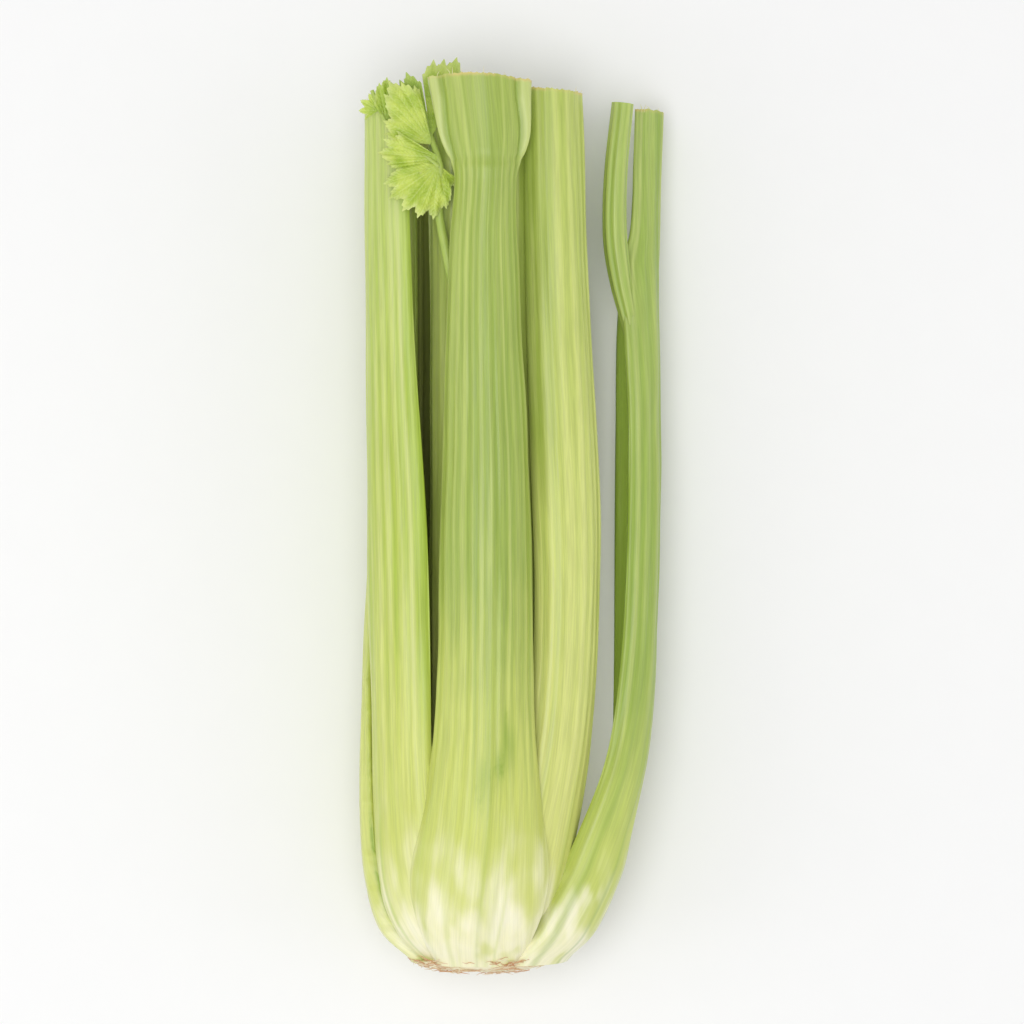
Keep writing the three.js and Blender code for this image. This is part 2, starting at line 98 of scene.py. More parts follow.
# Parts of a mesh: points in millimetres, quads, triangles, and values at the points

def makePart(points, quads=(), triangles=(), **values):
    return {
        "points": np.asarray(points, float).reshape(-1, 3),
        "quads": np.asarray(quads, int).reshape(-1, 4),
        "triangles": np.asarray(triangles, int).reshape(-1, 3),
        "values": values,
    }


def joinParts(parts):
    # one part out of several, side by side; a value that a part lacks is 0 there
    names = sorted({name for part in parts for name in part["values"]})
    offsets = np.cumsum([0] + [len(part["points"]) for part in parts])
    values = {}
    for name in names:
        width = next(p["values"][name].shape[1:] for p in parts if name in p["values"])
        values[name] = np.concatenate([
            p["values"].get(name, np.zeros((len(p["points"]),) + width)) for p in parts
        ])
    return makePart(
        np.concatenate([p["points"] for p in parts]),
        np.concatenate([p["quads"] + o for p, o in zip(parts, offsets)]),
        np.concatenate([p["triangles"] + o for p, o in zip(parts, offsets)]),
        **values,
    )


def makePiece(name, part, material, node, sharpDegrees=50):
    # the part as a Blender object at the origin, in metres, that stands for a CAD node
    mesh = bpy.data.meshes.new(name)
    quads, triangles = part["quads"], part["triangles"]
    corners = np.r_[quads.ravel(), triangles.ravel()].astype(np.int32)
    starts = np.r_[np.arange(len(quads)) * 4, len(quads) * 4 + np.arange(len(triangles)) * 3]
    mesh.vertices.add(len(part["points"]))
    mesh.vertices.foreach_set("co", (part["points"] * millimetre).astype(np.float32).ravel())
    mesh.loops.add(len(corners))
    mesh.loops.foreach_set("vertex_index", corners)
    mesh.polygons.add(len(starts))
    mesh.polygons.foreach_set("loop_start", starts.astype(np.int32))
    mesh.update(calc_edges=True)
    for key, value in part["values"].items():
        kind, field = ("FLOAT_VECTOR", "vector") if value.ndim > 1 else ("FLOAT", "value")
        attribute = mesh.attributes.new(key, kind, "POINT")
        attribute.data.foreach_set(field, value.astype(np.float32).ravel())
    mesh.shade_smooth()
    mesh.set_sharp_from_angle(angle=math.radians(sharpDegrees))
    mesh.materials.append(material)
    piece = bpy.data.objects.new(name, mesh)
    bpy.context.scene.collection.objects.link(piece)
    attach(piece, "root")
    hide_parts(node)
    print(name, len(quads) * 2 + len(triangles), "triangles")


def gridQuads(rows, columns, first=0):
    # quads of a grid whose points are numbered row by row
    r, c = np.meshgrid(np.arange(rows - 1), np.arange(columns - 1), indexing="ij")
    a = first + r * columns + c
    return np.stack([a, a + columns, a + columns + 1, a + 1], -1).reshape(-1, 4)


def ringQuads(rows, count):
    # quads between closed rings of points that are numbered ring by ring
    k, i = np.meshgrid(np.arange(rows - 1), np.arange(count), indexing="ij")
    j = (i + 1) % count
    quads = np.stack([k * count + i, k * count + j, (k + 1) * count + j, (k + 1) * count + i], -1)
    return quads.reshape(-1, 4)


def endFans(rows, count):
    # triangles that close the first and the last ring on two middle points, numbered last
    around = np.arange(count)
    following = (around + 1) % count
    lastRing = (rows - 1) * count
    middle = np.full(count, rows * count)
    return np.concatenate([
        np.stack([following, around, middle], -1),
        np.stack([lastRing + around, lastRing + following, middle + 1], -1),
    ])


# Rods, for stems, the side branch and loose fibres

def rodPart(path, radii, sides=10, steps=12, ribs=0, ribDepth=0.0, seed=0.0,
            up=(0.0, 0.0, 1.0), firstStation=0, cutEnd=0):
    # rings about a smooth path; the radius follows its own curve, ribs are a cosine round it,
    # and both ends close on a middle point
    path = np.array(path, float)
    lengths = np.r_[0, np.cumsum(np.linalg.norm(np.diff(path, axis=0), axis=1))]
    at = np.linspace(0, lengths[-1], steps + 1)
    centre = np.stack([knotCurve(np.c_[lengths, path[:, i]], at) for i in range(3)], -1)
    radius = knotCurve(np.c_[np.linspace(0, lengths[-1], len(radii)), radii], at)
    tangent = np.gradient(centre, axis=0)
    tangent /= np.linalg.norm(tangent, axis=1, keepdims=True)
    side = np.cross(tangent, up)
    side /= np.linalg.norm(side, axis=1, keepdims=True)
    up = np.cross(side, tangent)
    angle = np.linspace(0, 2 * np.pi, sides, endpoint=False)
    wave = 0.5 + 0.5 * np.cos(ribs * angle) if ribs else np.zeros(sides)
    reach = radius[:, None] + ribDepth * (wave - 0.5)[None]
    points = (
        centre[:, None]
        + side[:, None] * (reach * np.cos(angle))[..., None]
        + up[:, None] * (reach * np.sin(angle))[..., None]
    )
    grain = np.stack([
        np.broadcast_to(radius.mean() * angle[None], reach.shape),
        np.broadcast_to(firstStation + at[:, None], reach.shape),
        np.full(reach.shape, seed),
    ], -1)
    return makePart(
        np.concatenate([points.reshape(-1, 3), centre[:1], centre[-1:]]),
        ringQuads(steps + 1, sides),
        endFans(steps + 1, sides),
        grain=np.concatenate([grain.reshape(-1, 3), grain[0, :1], grain[-1, :1]]),
        crest=np.r_[np.broadcast_to(wave[None], reach.shape).ravel(), 0, 0],
        cut=np.r_[np.zeros(reach.size), 0, cutEnd],
    )


# Stalks

# Each curve is a list of [station, value]: the angle, in degrees about the head's axis, and the
# radius of the back's middle, the turn of the section there, the radius of its bow, half its
# width, its thickness in the middle and at the edges, and the height of its ribs. Places across a
# stalk run from -1 to 1. A band is (middle, width, first station, last station, how much paler);
# the bands of the left front, right front and splayed stalks are partly painted highlight and
# painted shade on flanks turned to and away from the light. A patch is (middle, station, width,
# length); the left stalk's patch is a painted shadow line under its torn edge. A cut is the top's
# slope to the right and upwards.
outerStalk = {
    "radius": [[4, 24.8], [12, 31.5], [24, 37], [38, 40.5], [60, 42.3], [100, 42.6], [160, 42],
               [230, 41.2], [320, 40.6]],
    "bend": [[4, 24], [38, 30], [60, 24], [100, 18], [160, 16], [230, 13.5], [320, 12.5]],
    "half": [[4, 13], [12, 15.5], [38, 18.5], [60, 19], [100, 19], [160, 18.5], [230, 16.5],
             [320, 15]],
    "thick": [[4, 3.8], [24, 5], [60, 7.5], [110, 9], [200, 9], [320, 8]],
    "edge": [[4, 1.5], [38, 1.4], [70, 2], [110, 3], [200, 3.4], [320, 3.2]],
    "turn": 0,
    "tuckPlus": [[4, 2.5], [40, 2.5], [85, 0]],  # how far an edge runs on into its neighbour
    "tuckMinus": [[4, 2.5], [40, 2.5], [85, 0]],
    "press": [[4, 2], [40, 2], [105, 0]],  # and how far it is pressed in there
    "ribs": 9,
    "ribHeight": [[4, 0.1], [40, 0.35], [100, 0.65], [320, 0.8]],
    "start": 3.4,
    "cut": (0, 0),
    "topFibres": 5,
    "columns": 92,
    "step": 2.3,
    "material": "plain",
    "slot": "stalk",
}
innerStalk = {
    **outerStalk,
    "radius": [[9, 17.4], [20, 23], [40, 27.6], [70, 29.5], [110, 29.5], [200, 29], [320, 28.5]],
    "bend": [[9, 17], [40, 17], [80, 13], [160, 11.5], [320, 10.5]],
    "half": [[9, 9], [25, 12.5], [60, 14.5], [160, 14], [320, 12]],
    "thick": [[9, 3.4], [30, 5], [80, 7], [200, 7.2], [320, 6.8]],
    "edge": [[9, 1.4], [60, 1.8], [110, 2.4], [320, 2.4]],
    "ribs": 6,
    "start": 9,
    "columns": 56,
    "step": 3,
    "material": "inner",
    "slot": "inner_stalk",
}
heartStalk = {
    **innerStalk,
    "radius": [[14, 10.5], [40, 15], [100, 16], [320, 16.5]],
    "bend": [[14, 9], [60, 9], [160, 8], [320, 7.5]],
    "half": [[14, 6], [40, 8.5], [160, 9], [320, 8]],
    "thick": [[14, 3], [60, 4.6], [320, 4.6]],
    "edge": [[14, 1.2], [60, 1.6], [320, 1.8]],
    "ribs": 4,
    "start": 14,
    "columns": 40,
    "step": 4,
}
stalks = {
    "front_stalk": {
        **outerStalk,
        "angle": [[4, 97], [38, 91.5], [70, 88.5], [150, 87], [260, 88.5], [290, 87.2], [320, 91]],
        "radius": [[4, 25.5], [12, 33.2], [24, 39.8], [38, 43], [60, 44.6], [100, 44.6], [160, 43],
                   [230, 42], [320, 41]],
        "bend": [[4, 25], [12, 31], [24, 38], [38, 38], [60, 29], [100, 20.5], [160, 18], [230, 15],
                 [260, 13.7], [285, 12.7], [292, 15.5], [300, 19.5], [320, 23.5]],
        "half": [[4, 15], [12, 19.5], [24, 24.5], [38, 27.5], [60, 25.5], [100, 22.5], [160, 22.5],
                 [230, 18.6], [260, 16.4], [285, 15.3], [292, 17], [300, 19.2], [320, 22]],
        "thick": [[4, 3.8], [24, 5], [60, 7.5], [100, 9.5], [160, 9.5], [290, 9], [306, 7.5],
                  [320, 5.5]],
        "ribs": 12,
        "ribHeight": [[4, 0.1], [40, 0.35], [100, 0.6], [240, 0.5], [320, 0.4]],
        "tuckMinus": [[4, 5], [20, 4.5], [40, 2.5], [85, 0]],
        "press": [[4, 2], [40, 2.6], [105, 0]],
        "top": 319.6,
        "cut": (-0.03, 0.2),
        "topFibres": 8,
        "wings": (284, 296),  # the stations between which the flare fans out
        "node": 289.5,  # the leaf joint's crease
        "bands": [(0.7, 0.22, 60, 300, 0.5), (-0.1, 0.4, 60, 330, -0.45), (-0.95, 0.08, 60, 280, 0.8)],
        "patches": [(0.02, 71, 0.1, 9), (-0.4, 84, 0.1, 8), (-0.22, 77, 0.1, 6), (-0.3, 88, 0.05, 9)],
        "columns": 110,
        "step": 2,
        "material": "front",
    },
    "left_front_stalk": {
        **outerStalk,
        "angle": [[4, 141], [38, 146], [60, 147], [100, 146], [160, 146], [260, 149], [320, 150]],
        "radius": [[4, 22], [12, 30.6], [24, 37.2], [38, 40], [60, 41.2], [100, 43], [160, 44.8],
                   [260, 45.4], [320, 46]],
        "bend": [[4, 20], [24, 22], [60, 21.5], [100, 18.6], [160, 16.5], [230, 14], [320, 12.5]],
        "half": [[4, 9], [24, 15], [38, 18.5], [60, 20], [100, 20.5], [160, 20.5], [230, 17],
                 [320, 15.5]],
        "tuckPlus": [[4, 8], [12, 8.5], [70, 6.5], [105, 2], [130, 0]],
        "ribs": 10,
        # the two paler bands are a painted highlight on the left rim that faces the light; the deeper green
        # band on the right flank is partly the edge's own greener colour and partly painted shade where it
        # turns down into the gap by the front stalk
        "bands": [(0.35, 0.3, 40, 330, 0.5), (0.95, 0.14, 60, 330, 2.3), (-0.92, 0.14, 70, 330, -1.5)],
        "top": 311,
        "cut": (-0.06, 0),
        "material": "leftFront",
    },
    "right_front_stalk": {
        **outerStalk,
        "angle": [[4, 44], [38, 42], [80, 35], [160, 33], [320, 35]],
        "radius": [[4, 19.6], [12, 25.5], [24, 31.2], [38, 34.6], [60, 38], [100, 42.4], [160, 44],
                   [260, 39.4], [320, 37.6]],
        "turn": [[4, 0], [40, 3], [90, 12], [320, 16]],
        "tuckPlus": [[4, 2.5], [40, 2.5], [85, 0], [130, 0], [200, 3], [320, 3]],
        "bend": [[4, 16], [24, 17], [60, 18], [100, 16], [160, 15], [230, 13.5], [320, 12.5]],
        "half": [[4, 9], [24, 14.5], [38, 18], [60, 19.5], [100, 19.5], [160, 19.5], [230, 17.5],
                 [320, 16]],
        "ribs": 10,
        # the dark band is painted shade on the left flank that turns under the front stalk, and the paler
        # middle band is painted light on its most lit face
        "bands": [(0.8, 0.25, 160, 360, -2.0), (0.0, 0.4, 40, 330, 0.3)],
        "top": 315,
        "cut": (-0.08, 0),
        "material": "rightFront",
    },
    "left_stalk": {
        **outerStalk,
        "angle": [[4, 182], [38, 188], [80, 193.4], [145, 198.6], [320, 199.5]],
        "radius": [[4, 25.4], [12, 34.6], [20, 38.8], [30, 41.4], [40, 42.8], [60, 43.6], [100, 43.2],
                   [160, 41.5], [230, 40.5], [320, 40]],
        "bend": [[4, 24], [38, 34], [60, 34], [100, 29], [160, 19], [320, 12]],
        "half": [[4, 12.5], [24, 17], [38, 18.5], [60, 18.5], [100, 16.5], [160, 16], [320, 13.5]],
        "tuckMinus": [[4, -1], [12, -2.5], [30, -3], [60, -3], [90, -2], [120, 0]],
        "press": [[4, 3.2], [12, 4], [24, 4], [60, 2.5], [105, 0]],
        "ragged": (8, 120, 0.7),  # first and last station, and depth, of the torn edge
        "bands": [(-0.6, 0.5, -40, 330, 1.1)],
        # the patch is a painted shadow: a thin dark green line under the torn edge where it lies on the left
        # front stalk
        "patches": [(-0.975, 36, 0.05, 34)],
        "step": 1.3,
        "top": 308,
        "cut": (0, 0.05),
    },
    "left_back_stalk": {
        **outerStalk,
        "angle": [[4, 244], [38, 244.4], [80, 245], [160, 246], [320, 246]],
        "top": 312,
        "cut": (0, -0.05),
    },
    "right_back_stalk": {
        **outerStalk,
        "angle": [[4, 305], [38, 302], [80, 299], [160, 297], [320, 297]],
        "radius": [[4, 24.8], [12, 31.5], [24, 37], [38, 40.8], [60, 42.8], [100, 43.3], [160, 42.8],
                   [230, 42.2], [320, 41.9]],
        "top": 309,
        "cut": (0.05, 0),
    },
    "splayed_stalk": {
        **outerStalk,
        "angle": [[4, 16], [38, 9], [100, -4], [200, -13], [311, -18]],
        "radius": [[4, 30], [12, 38.6], [20, 43.2], [30, 47.6], [40, 51.2], [74, 59], [97, 62],
                   [133, 64.2], [194, 66], [259, 66.5], [311, 69]],
        "turn": [[4, 8], [38, 16], [74, 6], [133, 2], [194, 3], [246, 6], [266, 20], [288, 31], [311, 34]],
        "tuckPlus": [[4, 9.5], [12, 9], [24, 7], [40, 3.5], [85, 0], [190, 0], [228, 3], [252, 5],
                     [266, 1], [280, 0]],
        "bend": [[4, 24], [22, 22], [38, 19], [74, 14], [133, 12.6], [240, 12], [259, 11], [311, 10]],
        "half": [[4, 15], [12, 19], [22, 21], [38, 22], [74, 21.5], [133, 21.5], [194, 21], [240, 19],
                 [264, 15.5], [285, 14], [311, 13.6]],
        "thick": [[4, 8.5], [12, 8], [24, 7.5], [60, 8.5], [110, 8.5], [260, 8], [311, 7.5]],
        "ribs": 10,
        # the dark band is painted shade in the prong's groove, and the pale band is a painted highlight
        # along its other side
        "bands": [(0.25, 0.2, 225, 360, -1.0), (0.95, 0.15, 225, 360, 0.5)],
        "top": 310.5,
        "cut": (0, 0.12),
        "material": "splayed",
        "slot": "dark_stalk",
    },
    "inner_stalk_1": {
        **innerStalk,
        "angle": 118,
        "radius": [[9, 17.4], [20, 22.5], [40, 25.5], [70, 26], [110, 25.6], [200, 25.6], [260, 26.4],
                   [320, 27.4]],
        "top": 303,
        "cut": (0, 0.1),
    },
    "inner_stalk_2": {
        **innerStalk,
        "angle": [[9, 54], [80, 51], [320, 52]],
        "radius": [[9, 17], [20, 21.5], [40, 25.6], [70, 27], [180, 26], [230, 24.6], [320, 24.2]],
        "top": 300,
        "cut": (0.1, 0),
    },
    "inner_stalk_3": {**innerStalk, "angle": [[9, -18], [320, -16]], "top": 306, "cut": (0.1, 0)},
    "inner_stalk_4": {**innerStalk, "angle": [[9, 268], [320, 269]], "top": 298, "cut": (0, 0.1)},
    "inner_stalk_5": {**innerStalk, "angle": 192, "top": 305, "cut": (-0.1, 0)},
    "heart_stalk_1": {**heartStalk, "angle": [[14, 160], [320, 158]], "top": 288},
    "heart_stalk_2": {**heartStalk, "angle": [[14, 25], [320, 28]], "top": 282},
    "heart_stalk_3": {**heartStalk, "angle": [[14, 275], [320, 270]], "top": 292},
}

# How a stalk's ribs and its uneven surface run: lengths are along the stalk
ribbing = {
    "widths": (0.6, 1.5),  # the least and the most, as are the strengths
    "strengths": (0.15, 0.85),
    "wander": 0.014,
    "wanderLength": 300,
    "strengthMean": 0.7,
    "strengthSwing": 0.4,
    "swingLength": 140,
    "sharpness": 1.3,
    "threadHeight": 0.06,  # three fine threads on each rib
    "swell": 0.3,
    "swellLength": 70,
    "lobes": 0.25,  # the foot's own low lobes, with their width and length
    "lobeWidth": 9,
    "lobeLength": 42,
}
# The joint's crease, and the flare above it: its ribs flatten, and rods along its edges widen
# towards the top, each beside a groove
flare = {
    "creaseDepth": 0.35,
    "creaseWidth": 1.1,
    "swelling": 0.3,
    "swellingBelow": 3,
    "swellingWidth": 2,
    "flattening": 0.85,
    "rodHeight": 1.7,
    "rodAt": [[288, 0.95], [312, 0.86]],
    "rodWidth": [[288, 0.05], [312, 0.12]],
    "grooveDepth": 1.2,
    "grooveAt": [[288, 0.86], [312, 0.68]],
    "grooveWidth": 0.05,
}


def ribField(stalk, u, s, seed):
    # a cosine across each rib, whose borders wander a little along the stalk; each rib has a
    # width, a shade and a strength of its own, and the strength swings along the stalk
    ribs = stalk["ribs"]
    rng = np.random.default_rng(seed + 1)
    widths = rng.uniform(*ribbing["widths"], ribs)
    borders = np.r_[0, np.cumsum(widths)] / widths.sum() * 2 - 1
    wander = ribbing["wander"] * softNoise(u * 0.3, s / ribbing["wanderLength"], seed) * (1 - u**4)
    q = np.interp(u + wander, borders, np.arange(ribs + 1))
    rib = 0.5 - 0.5 * np.cos(2 * np.pi * q)
    strength = rng.uniform(*ribbing["strengths"], ribs)
    shade = rng.uniform(-1, 1, ribs)
    k = np.clip(np.floor(q), 0, ribs - 1).astype(int)
    swing = softNoise(k * 0.37, s / ribbing["swingLength"], seed + 3)
    fading = np.clip(ribbing["strengthMean"] + ribbing["strengthSwing"] * swing, 0.2, 1.1)
    return rib, strength[k] * fading, shade[k] * rib, q


def ridgeAt(stalk, s, rib, strength, q, fanned):
    # ribs that flatten on the flare, fine threads on them, and the joint's crease and swelling
    ridge = knotCurve(stalk["ribHeight"], s) * strength * rib ** ribbing["sharpness"]
    ridge = ridge * (1 - flare["flattening"] * fanned)
    ridge = ridge + ribbing["threadHeight"] * smoothStep(s, 20, 90) * (0.5 + 0.5 * np.cos(6 * np.pi * q))
    node = stalk.get("node", -100)  # off the stalk where it has no joint
    ridge = ridge - flare["creaseDepth"] * bump(s, node, flare["creaseWidth"])
    return ridge + flare["swelling"] * bump(s, node - flare["swellingBelow"], flare["swellingWidth"])


def rodsAt(u, s):
    # a rod along each edge of the flare with a groove beside it, and the groove's place
    rodAt, rodWidth, grooveAt = (knotCurve(flare[key], s) for key in ("rodAt", "rodWidth", "grooveAt"))
    rods = flare["rodHeight"] * bump(np.abs(u), rodAt, rodWidth)
    return rods - flare["grooveDepth"] * bump(np.abs(u), grooveAt, flare["grooveWidth"]), grooveAt


def swellAt(u, s, half, seed):
    # a slow unevenness of the whole stalk, and low lobes on its foot
    uneven = softNoise(u * 0.7, s / ribbing["swellLength"], seed + 2)
    lobes = softNoise(u * half / ribbing["lobeWidth"], s / ribbing["lobeLength"], seed + 4)
    swell = ribbing["swell"] * uneven * smoothStep(s, 8, 40)
    return swell + ribbing["lobes"] * (lobes * smoothStep(s, 46, 20)) * smoothStep(s, 4, 10)


def tuckAt(stalk, u, s, seed):
    # how far the edges run on into the neighbours, and how ragged the torn one is
    tuck = np.where(u > 0, knotCurve(stalk["tuckPlus"], s), knotCurve(stalk["tuckMinus"], s))
    if "ragged" in stalk:
        first, last, amount = stalk["ragged"]
        torn = softNoise(0, s / 9, seed + 5) + 0.7 * softNoise(0, s / 3, seed + 6)
        here = smoothStep(s, first, first + 12) * smoothStep(s, last, last - 25)
        tuck = tuck + np.where(u < 0, amount * torn * here, 0)
    return tuck


def marksAt(stalk, u, s, shade):
    # the ribs' shade with the stalk's bands added, some of which are painted highlight and painted
    # shade, and its patches, one of which is a painted shadow line
    for middle, width, first, last, amount in stalk.get("bands", ()):
        shade = shade + amount * bump(u, middle, width) * smoothStep(s, first, first + 40) * (
            1 - smoothStep(s, last - 40, last)
        )
    patch = np.zeros(np.shape(s))
    for middle, station, width, length in stalk.get("patches", ()):
        patch = patch + bump(u, middle, width) * bump(s, station, length)
    return shade, patch


def stalkSurface(stalk, u, s, face, seed):
    # a crescent section in polar form about the head's axis: the back's middle stands at an angle
    # and a radius, the section bows round it, and its thickness closes towards the edges; face
    # is 1 on the back and -1 in the channel
    angle, radius, turn, bend, half, thick, edge = (
        knotCurve(stalk[key], s) for key in ("angle", "radius", "turn", "bend", "half", "thick", "edge")
    )
    angle = np.radians(angle)
    flatness = head["flatness"]
    out = np.arctan2(np.sin(angle) / flatness, np.cos(angle)) + np.radians(turn)
    middleX = head["axisX"] + radius * np.cos(angle)
    middleZ = knotCurve(head["axisHeight"], s) + flatness * radius * np.sin(angle)
    bow = u * (half + tuckAt(stalk, u, s, seed)) / bend
    across = bend * np.sin(bow)
    inwards = bend * (1 - np.cos(bow))
    thickness = edge + (thick - edge) * (1 - np.abs(u) ** head["thicknessPower"])
    opened = np.sqrt(np.clip(1 - u * u, 0, 1)) ** head["edgeRounding"]
    back = face > 0
    outer = np.where(back, 1.0, 0.0)
    rib, strength, shade, q = ribField(stalk, u, s, seed)
    fanned = smoothStep(s, *stalk["wings"]) if "wings" in stalk else np.zeros(np.shape(s))
    rods, grooveAt = rodsAt(u, s)
    swell = swellAt(u, s, half, seed)
    relief = np.where(back, ridgeAt(stalk, s, rib, strength, q, fanned) + swell + fanned * rods, 0.5 * swell)
    inside = 1 - smoothStep(np.abs(u), 0.97, 1.0)
    dive = knotCurve(stalk["press"], s) * smoothStep(np.abs(u), 0.75, 1)
    rise = -thickness * (1 - face * opened) / 2 + relief * inside - dive
    x = middleX - np.sin(out) * across - np.cos(out) * inwards + np.cos(out + bow) * rise
    z = middleZ + np.cos(out) * across - np.sin(out) * inwards + np.sin(out + bow) * rise
    z = np.maximum(z, 0)
    slopeX, slopeZ = stalk["cut"]
    tilted = smoothStep(s, stalk["top"] - head["tiltReach"], stalk["top"])
    nearTop = smoothStep(s, stalk["top"] - 3, stalk["top"])
    y = head["crownY"] + s + tilted * (slopeX * (x - middleX) + slopeZ * (z - middleZ))
    y = y + 0.3 * softNoise(u * half / 1.4, face, seed + 8) * nearTop
    shade, patch = marksAt(stalk, u, s, shade)
    values = {
        "grain": np.stack([u * half, s, np.full(np.shape(s), float(seed))], -1),
        "crest": np.where(back, 0.5 + (rib - 0.5) * (1 - 0.8 * fanned), 0),
        "shade": np.where(back, shade, 0),
        "channel": (1 - outer) * opened,
        "fromTop": stalk["top"] - s,
        "rod": fanned * smoothStep(np.abs(u), grooveAt + 0.02, grooveAt + 0.08) * outer,
        "groove": fanned * bump(np.abs(u), grooveAt, 0.035) * outer,
        "patch": patch,
    }
    return np.stack([x, y, z], -1), values


def acrossSamples(count, edgeCount=7, edgeFrom=0.95):
    # even steps over most of the width, and finer ones towards both edges
    middle = np.linspace(-edgeFrom, edgeFrom, count - 2 * edgeCount)
    t = np.arange(1, edgeCount + 1) / edgeCount
    right = edgeFrom + (1 - edgeFrom) * (1 - (1 - t) ** 2)
    return np.r_[-right[::-1], middle, right]


def endFace(backRow, channelRow, u, ringStart, ringCount, firstPoint, turn):
    # rows of points from the back's side of an end ring to the channel's, a little hollow, with
    # the quads between them and the triangles in both corners; turn is 1 at the root, -1 on top
    columns = len(u)
    inner = np.arange(1, columns - 1)
    shares = np.array(head["endShares"])
    backAt, channelAt = backRow[inner], channelRow[inner]
    face = backAt[None] + shares[:, None, None] * (channelAt - backAt)[None]
    hollow = head["endHollow"] * np.sin(np.pi * shares)[:, None] * (1 - np.abs(u[inner]) ** 4)[None]
    face[..., 1] += hollow * turn
    index = np.empty((len(shares) + 2, columns), int)
    index[0] = ringStart + np.arange(columns)
    index[-1, inner] = ringStart + ringCount - inner
    index[1:-1, inner] = firstPoint + np.arange(len(shares) * len(inner)).reshape(len(shares), -1)
    index[1:, 0] = ringStart
    index[1:, -1] = ringStart + columns - 1
    quads = np.stack([index[:-1, 1:-2], index[:-1, 2:-1], index[1:, 2:-1], index[1:, 1:-2]], -1)
    left = np.stack([index[:-1, 1], index[1:, 1], index[:-1, 0]], -1)
    right = np.stack([index[:-1, -2], index[:-1, -1], index[1:, -2]], -1)
    return face.reshape(-1, 3), quads.reshape(-1, 4)[:, ::turn], [left[:, ::turn], right[:, ::turn]]


def stalkPart(stalk, seed):
    # the back from edge to edge, the channel behind it, and two end faces between them
    u = acrossSamples(stalk["columns"])
    rows = int(round((stalk["top"] - stalk["start"]) / stalk["step"])) + 1
    s, uGrid = np.meshgrid(np.linspace(stalk["start"], stalk["top"], rows), u, indexing="ij")
    backPoints, backValues = stalkSurface(stalk, uGrid, s, np.ones_like(s), seed)
    channelPoints, channelValues = stalkSurface(stalk, uGrid, s, -np.ones_like(s), seed)

    def around(back, channel):
        return np.concatenate([back, channel[:, -2:0:-1]], axis=1)

    ring = around(backPoints, channelPoints)
    count = ring.shape[1]
    total = rows * count
    points = [ring.reshape(-1, 3)]
    quads = [ringQuads(rows, count)[:, [0, 3, 2, 1]]]  # turned, so that they face outwards
    triangles = []
    values = {
        name: [around(value, channelValues[name]).reshape((-1,) + value.shape[2:])]
        for name, value in backValues.items()
    }
    values["cut"] = [np.zeros(total)]
    for row, turn in ((0, 1), (rows - 1, -1)):
        facePoints, faceQuads, faceTriangles = endFace(
            backPoints[row], channelPoints[row], u, row * count, count, total, turn
        )
        points.append(facePoints)
        quads.append(faceQuads)
        triangles += faceTriangles
        for name, value in backValues.items():
            rim = value[row, 1:-1]
            values[name].append(np.concatenate([rim] * len(head["endShares"])))
        values["cut"].append(np.ones(len(facePoints)))
        total += len(facePoints)
    return makePart(
        np.concatenate(points),
        np.concatenate(quads),
        np.concatenate(triangles),
        **{name: np.concatenate(value) for name, value in values.items()},
    )


fibre = {
    "across": 0.85,
    "rootedBelow": 1.2,
    "inwards": (0.3, 0.8),
    "length": (0.5, 2.2),
    "lean": 0.5,
    "radii": [0.12, 0.11, 0.04],
}


def topFibres(stalk, seed):
    # a few torn fibres that stand out of the cut top, rooted in the back's rim
    rng = np.random.default_rng(seed + 9)
    parts = []
    for _ in range(stalk["topFibres"]):
        u = rng.uniform(-fibre["across"], fibre["across"])
        station = np.array([stalk["top"] - fibre["rootedBelow"], stalk["top"]])
        root = stalkSurface(stalk, np.full(2, u), station, np.ones(2), seed)[0]
        inwards = rng.uniform(*fibre["inwards"])
        length = rng.uniform(*fibre["length"])
        lean = rng.normal(0, fibre["lean"], 2)
        steps = np.array([[0.3], [0.7], [1.0]])
        outwards = np.concatenate([lean[0] * steps, np.ones((3, 1)), lean[1] * steps], axis=1)
        towards = np.array([head["axisX"], root[0, 1], head["topAxisHeight"]]) - root[0]
        buried = root + inwards * towards / np.linalg.norm(towards)
        path = np.concatenate([buried, buried[1:] + length * steps * outwards])
        part = rodPart(path, fibre["radii"], sides=5, steps=7, seed=float(seed))
        part["values"] = {"grain": part["values"]["grain"], "fromTop": np.zeros(len(part["points"]))}
        parts.append(part)
    return parts


def place(points):
    # from (right of the axis, station, height) to the row's frame
    points = np.array(points, float)
    return points + [head["axisX"], head["crownY"], 0]


# The fork of the splayed stalk: a side branch that leaves its front edge and runs up beside it
branchPath = [[55.5, 220, 29.5], [53.2, 234, 30.6], [50.2, 248, 32], [48.1, 264, 33.4],
              [48.3, 286, 35], [50.8, 312, 35.6]]
branch = {
    "radii": [1.6, 3.2, 4.1, 4.1, 3.9, 3.7],
    "sides": 48,
    "steps": 60,
    "ribs": 8,
    "ribDepth": 0.5,
    "seed": 7.0,
    "firstStation": 220,
    "cutEnd": 1,
}

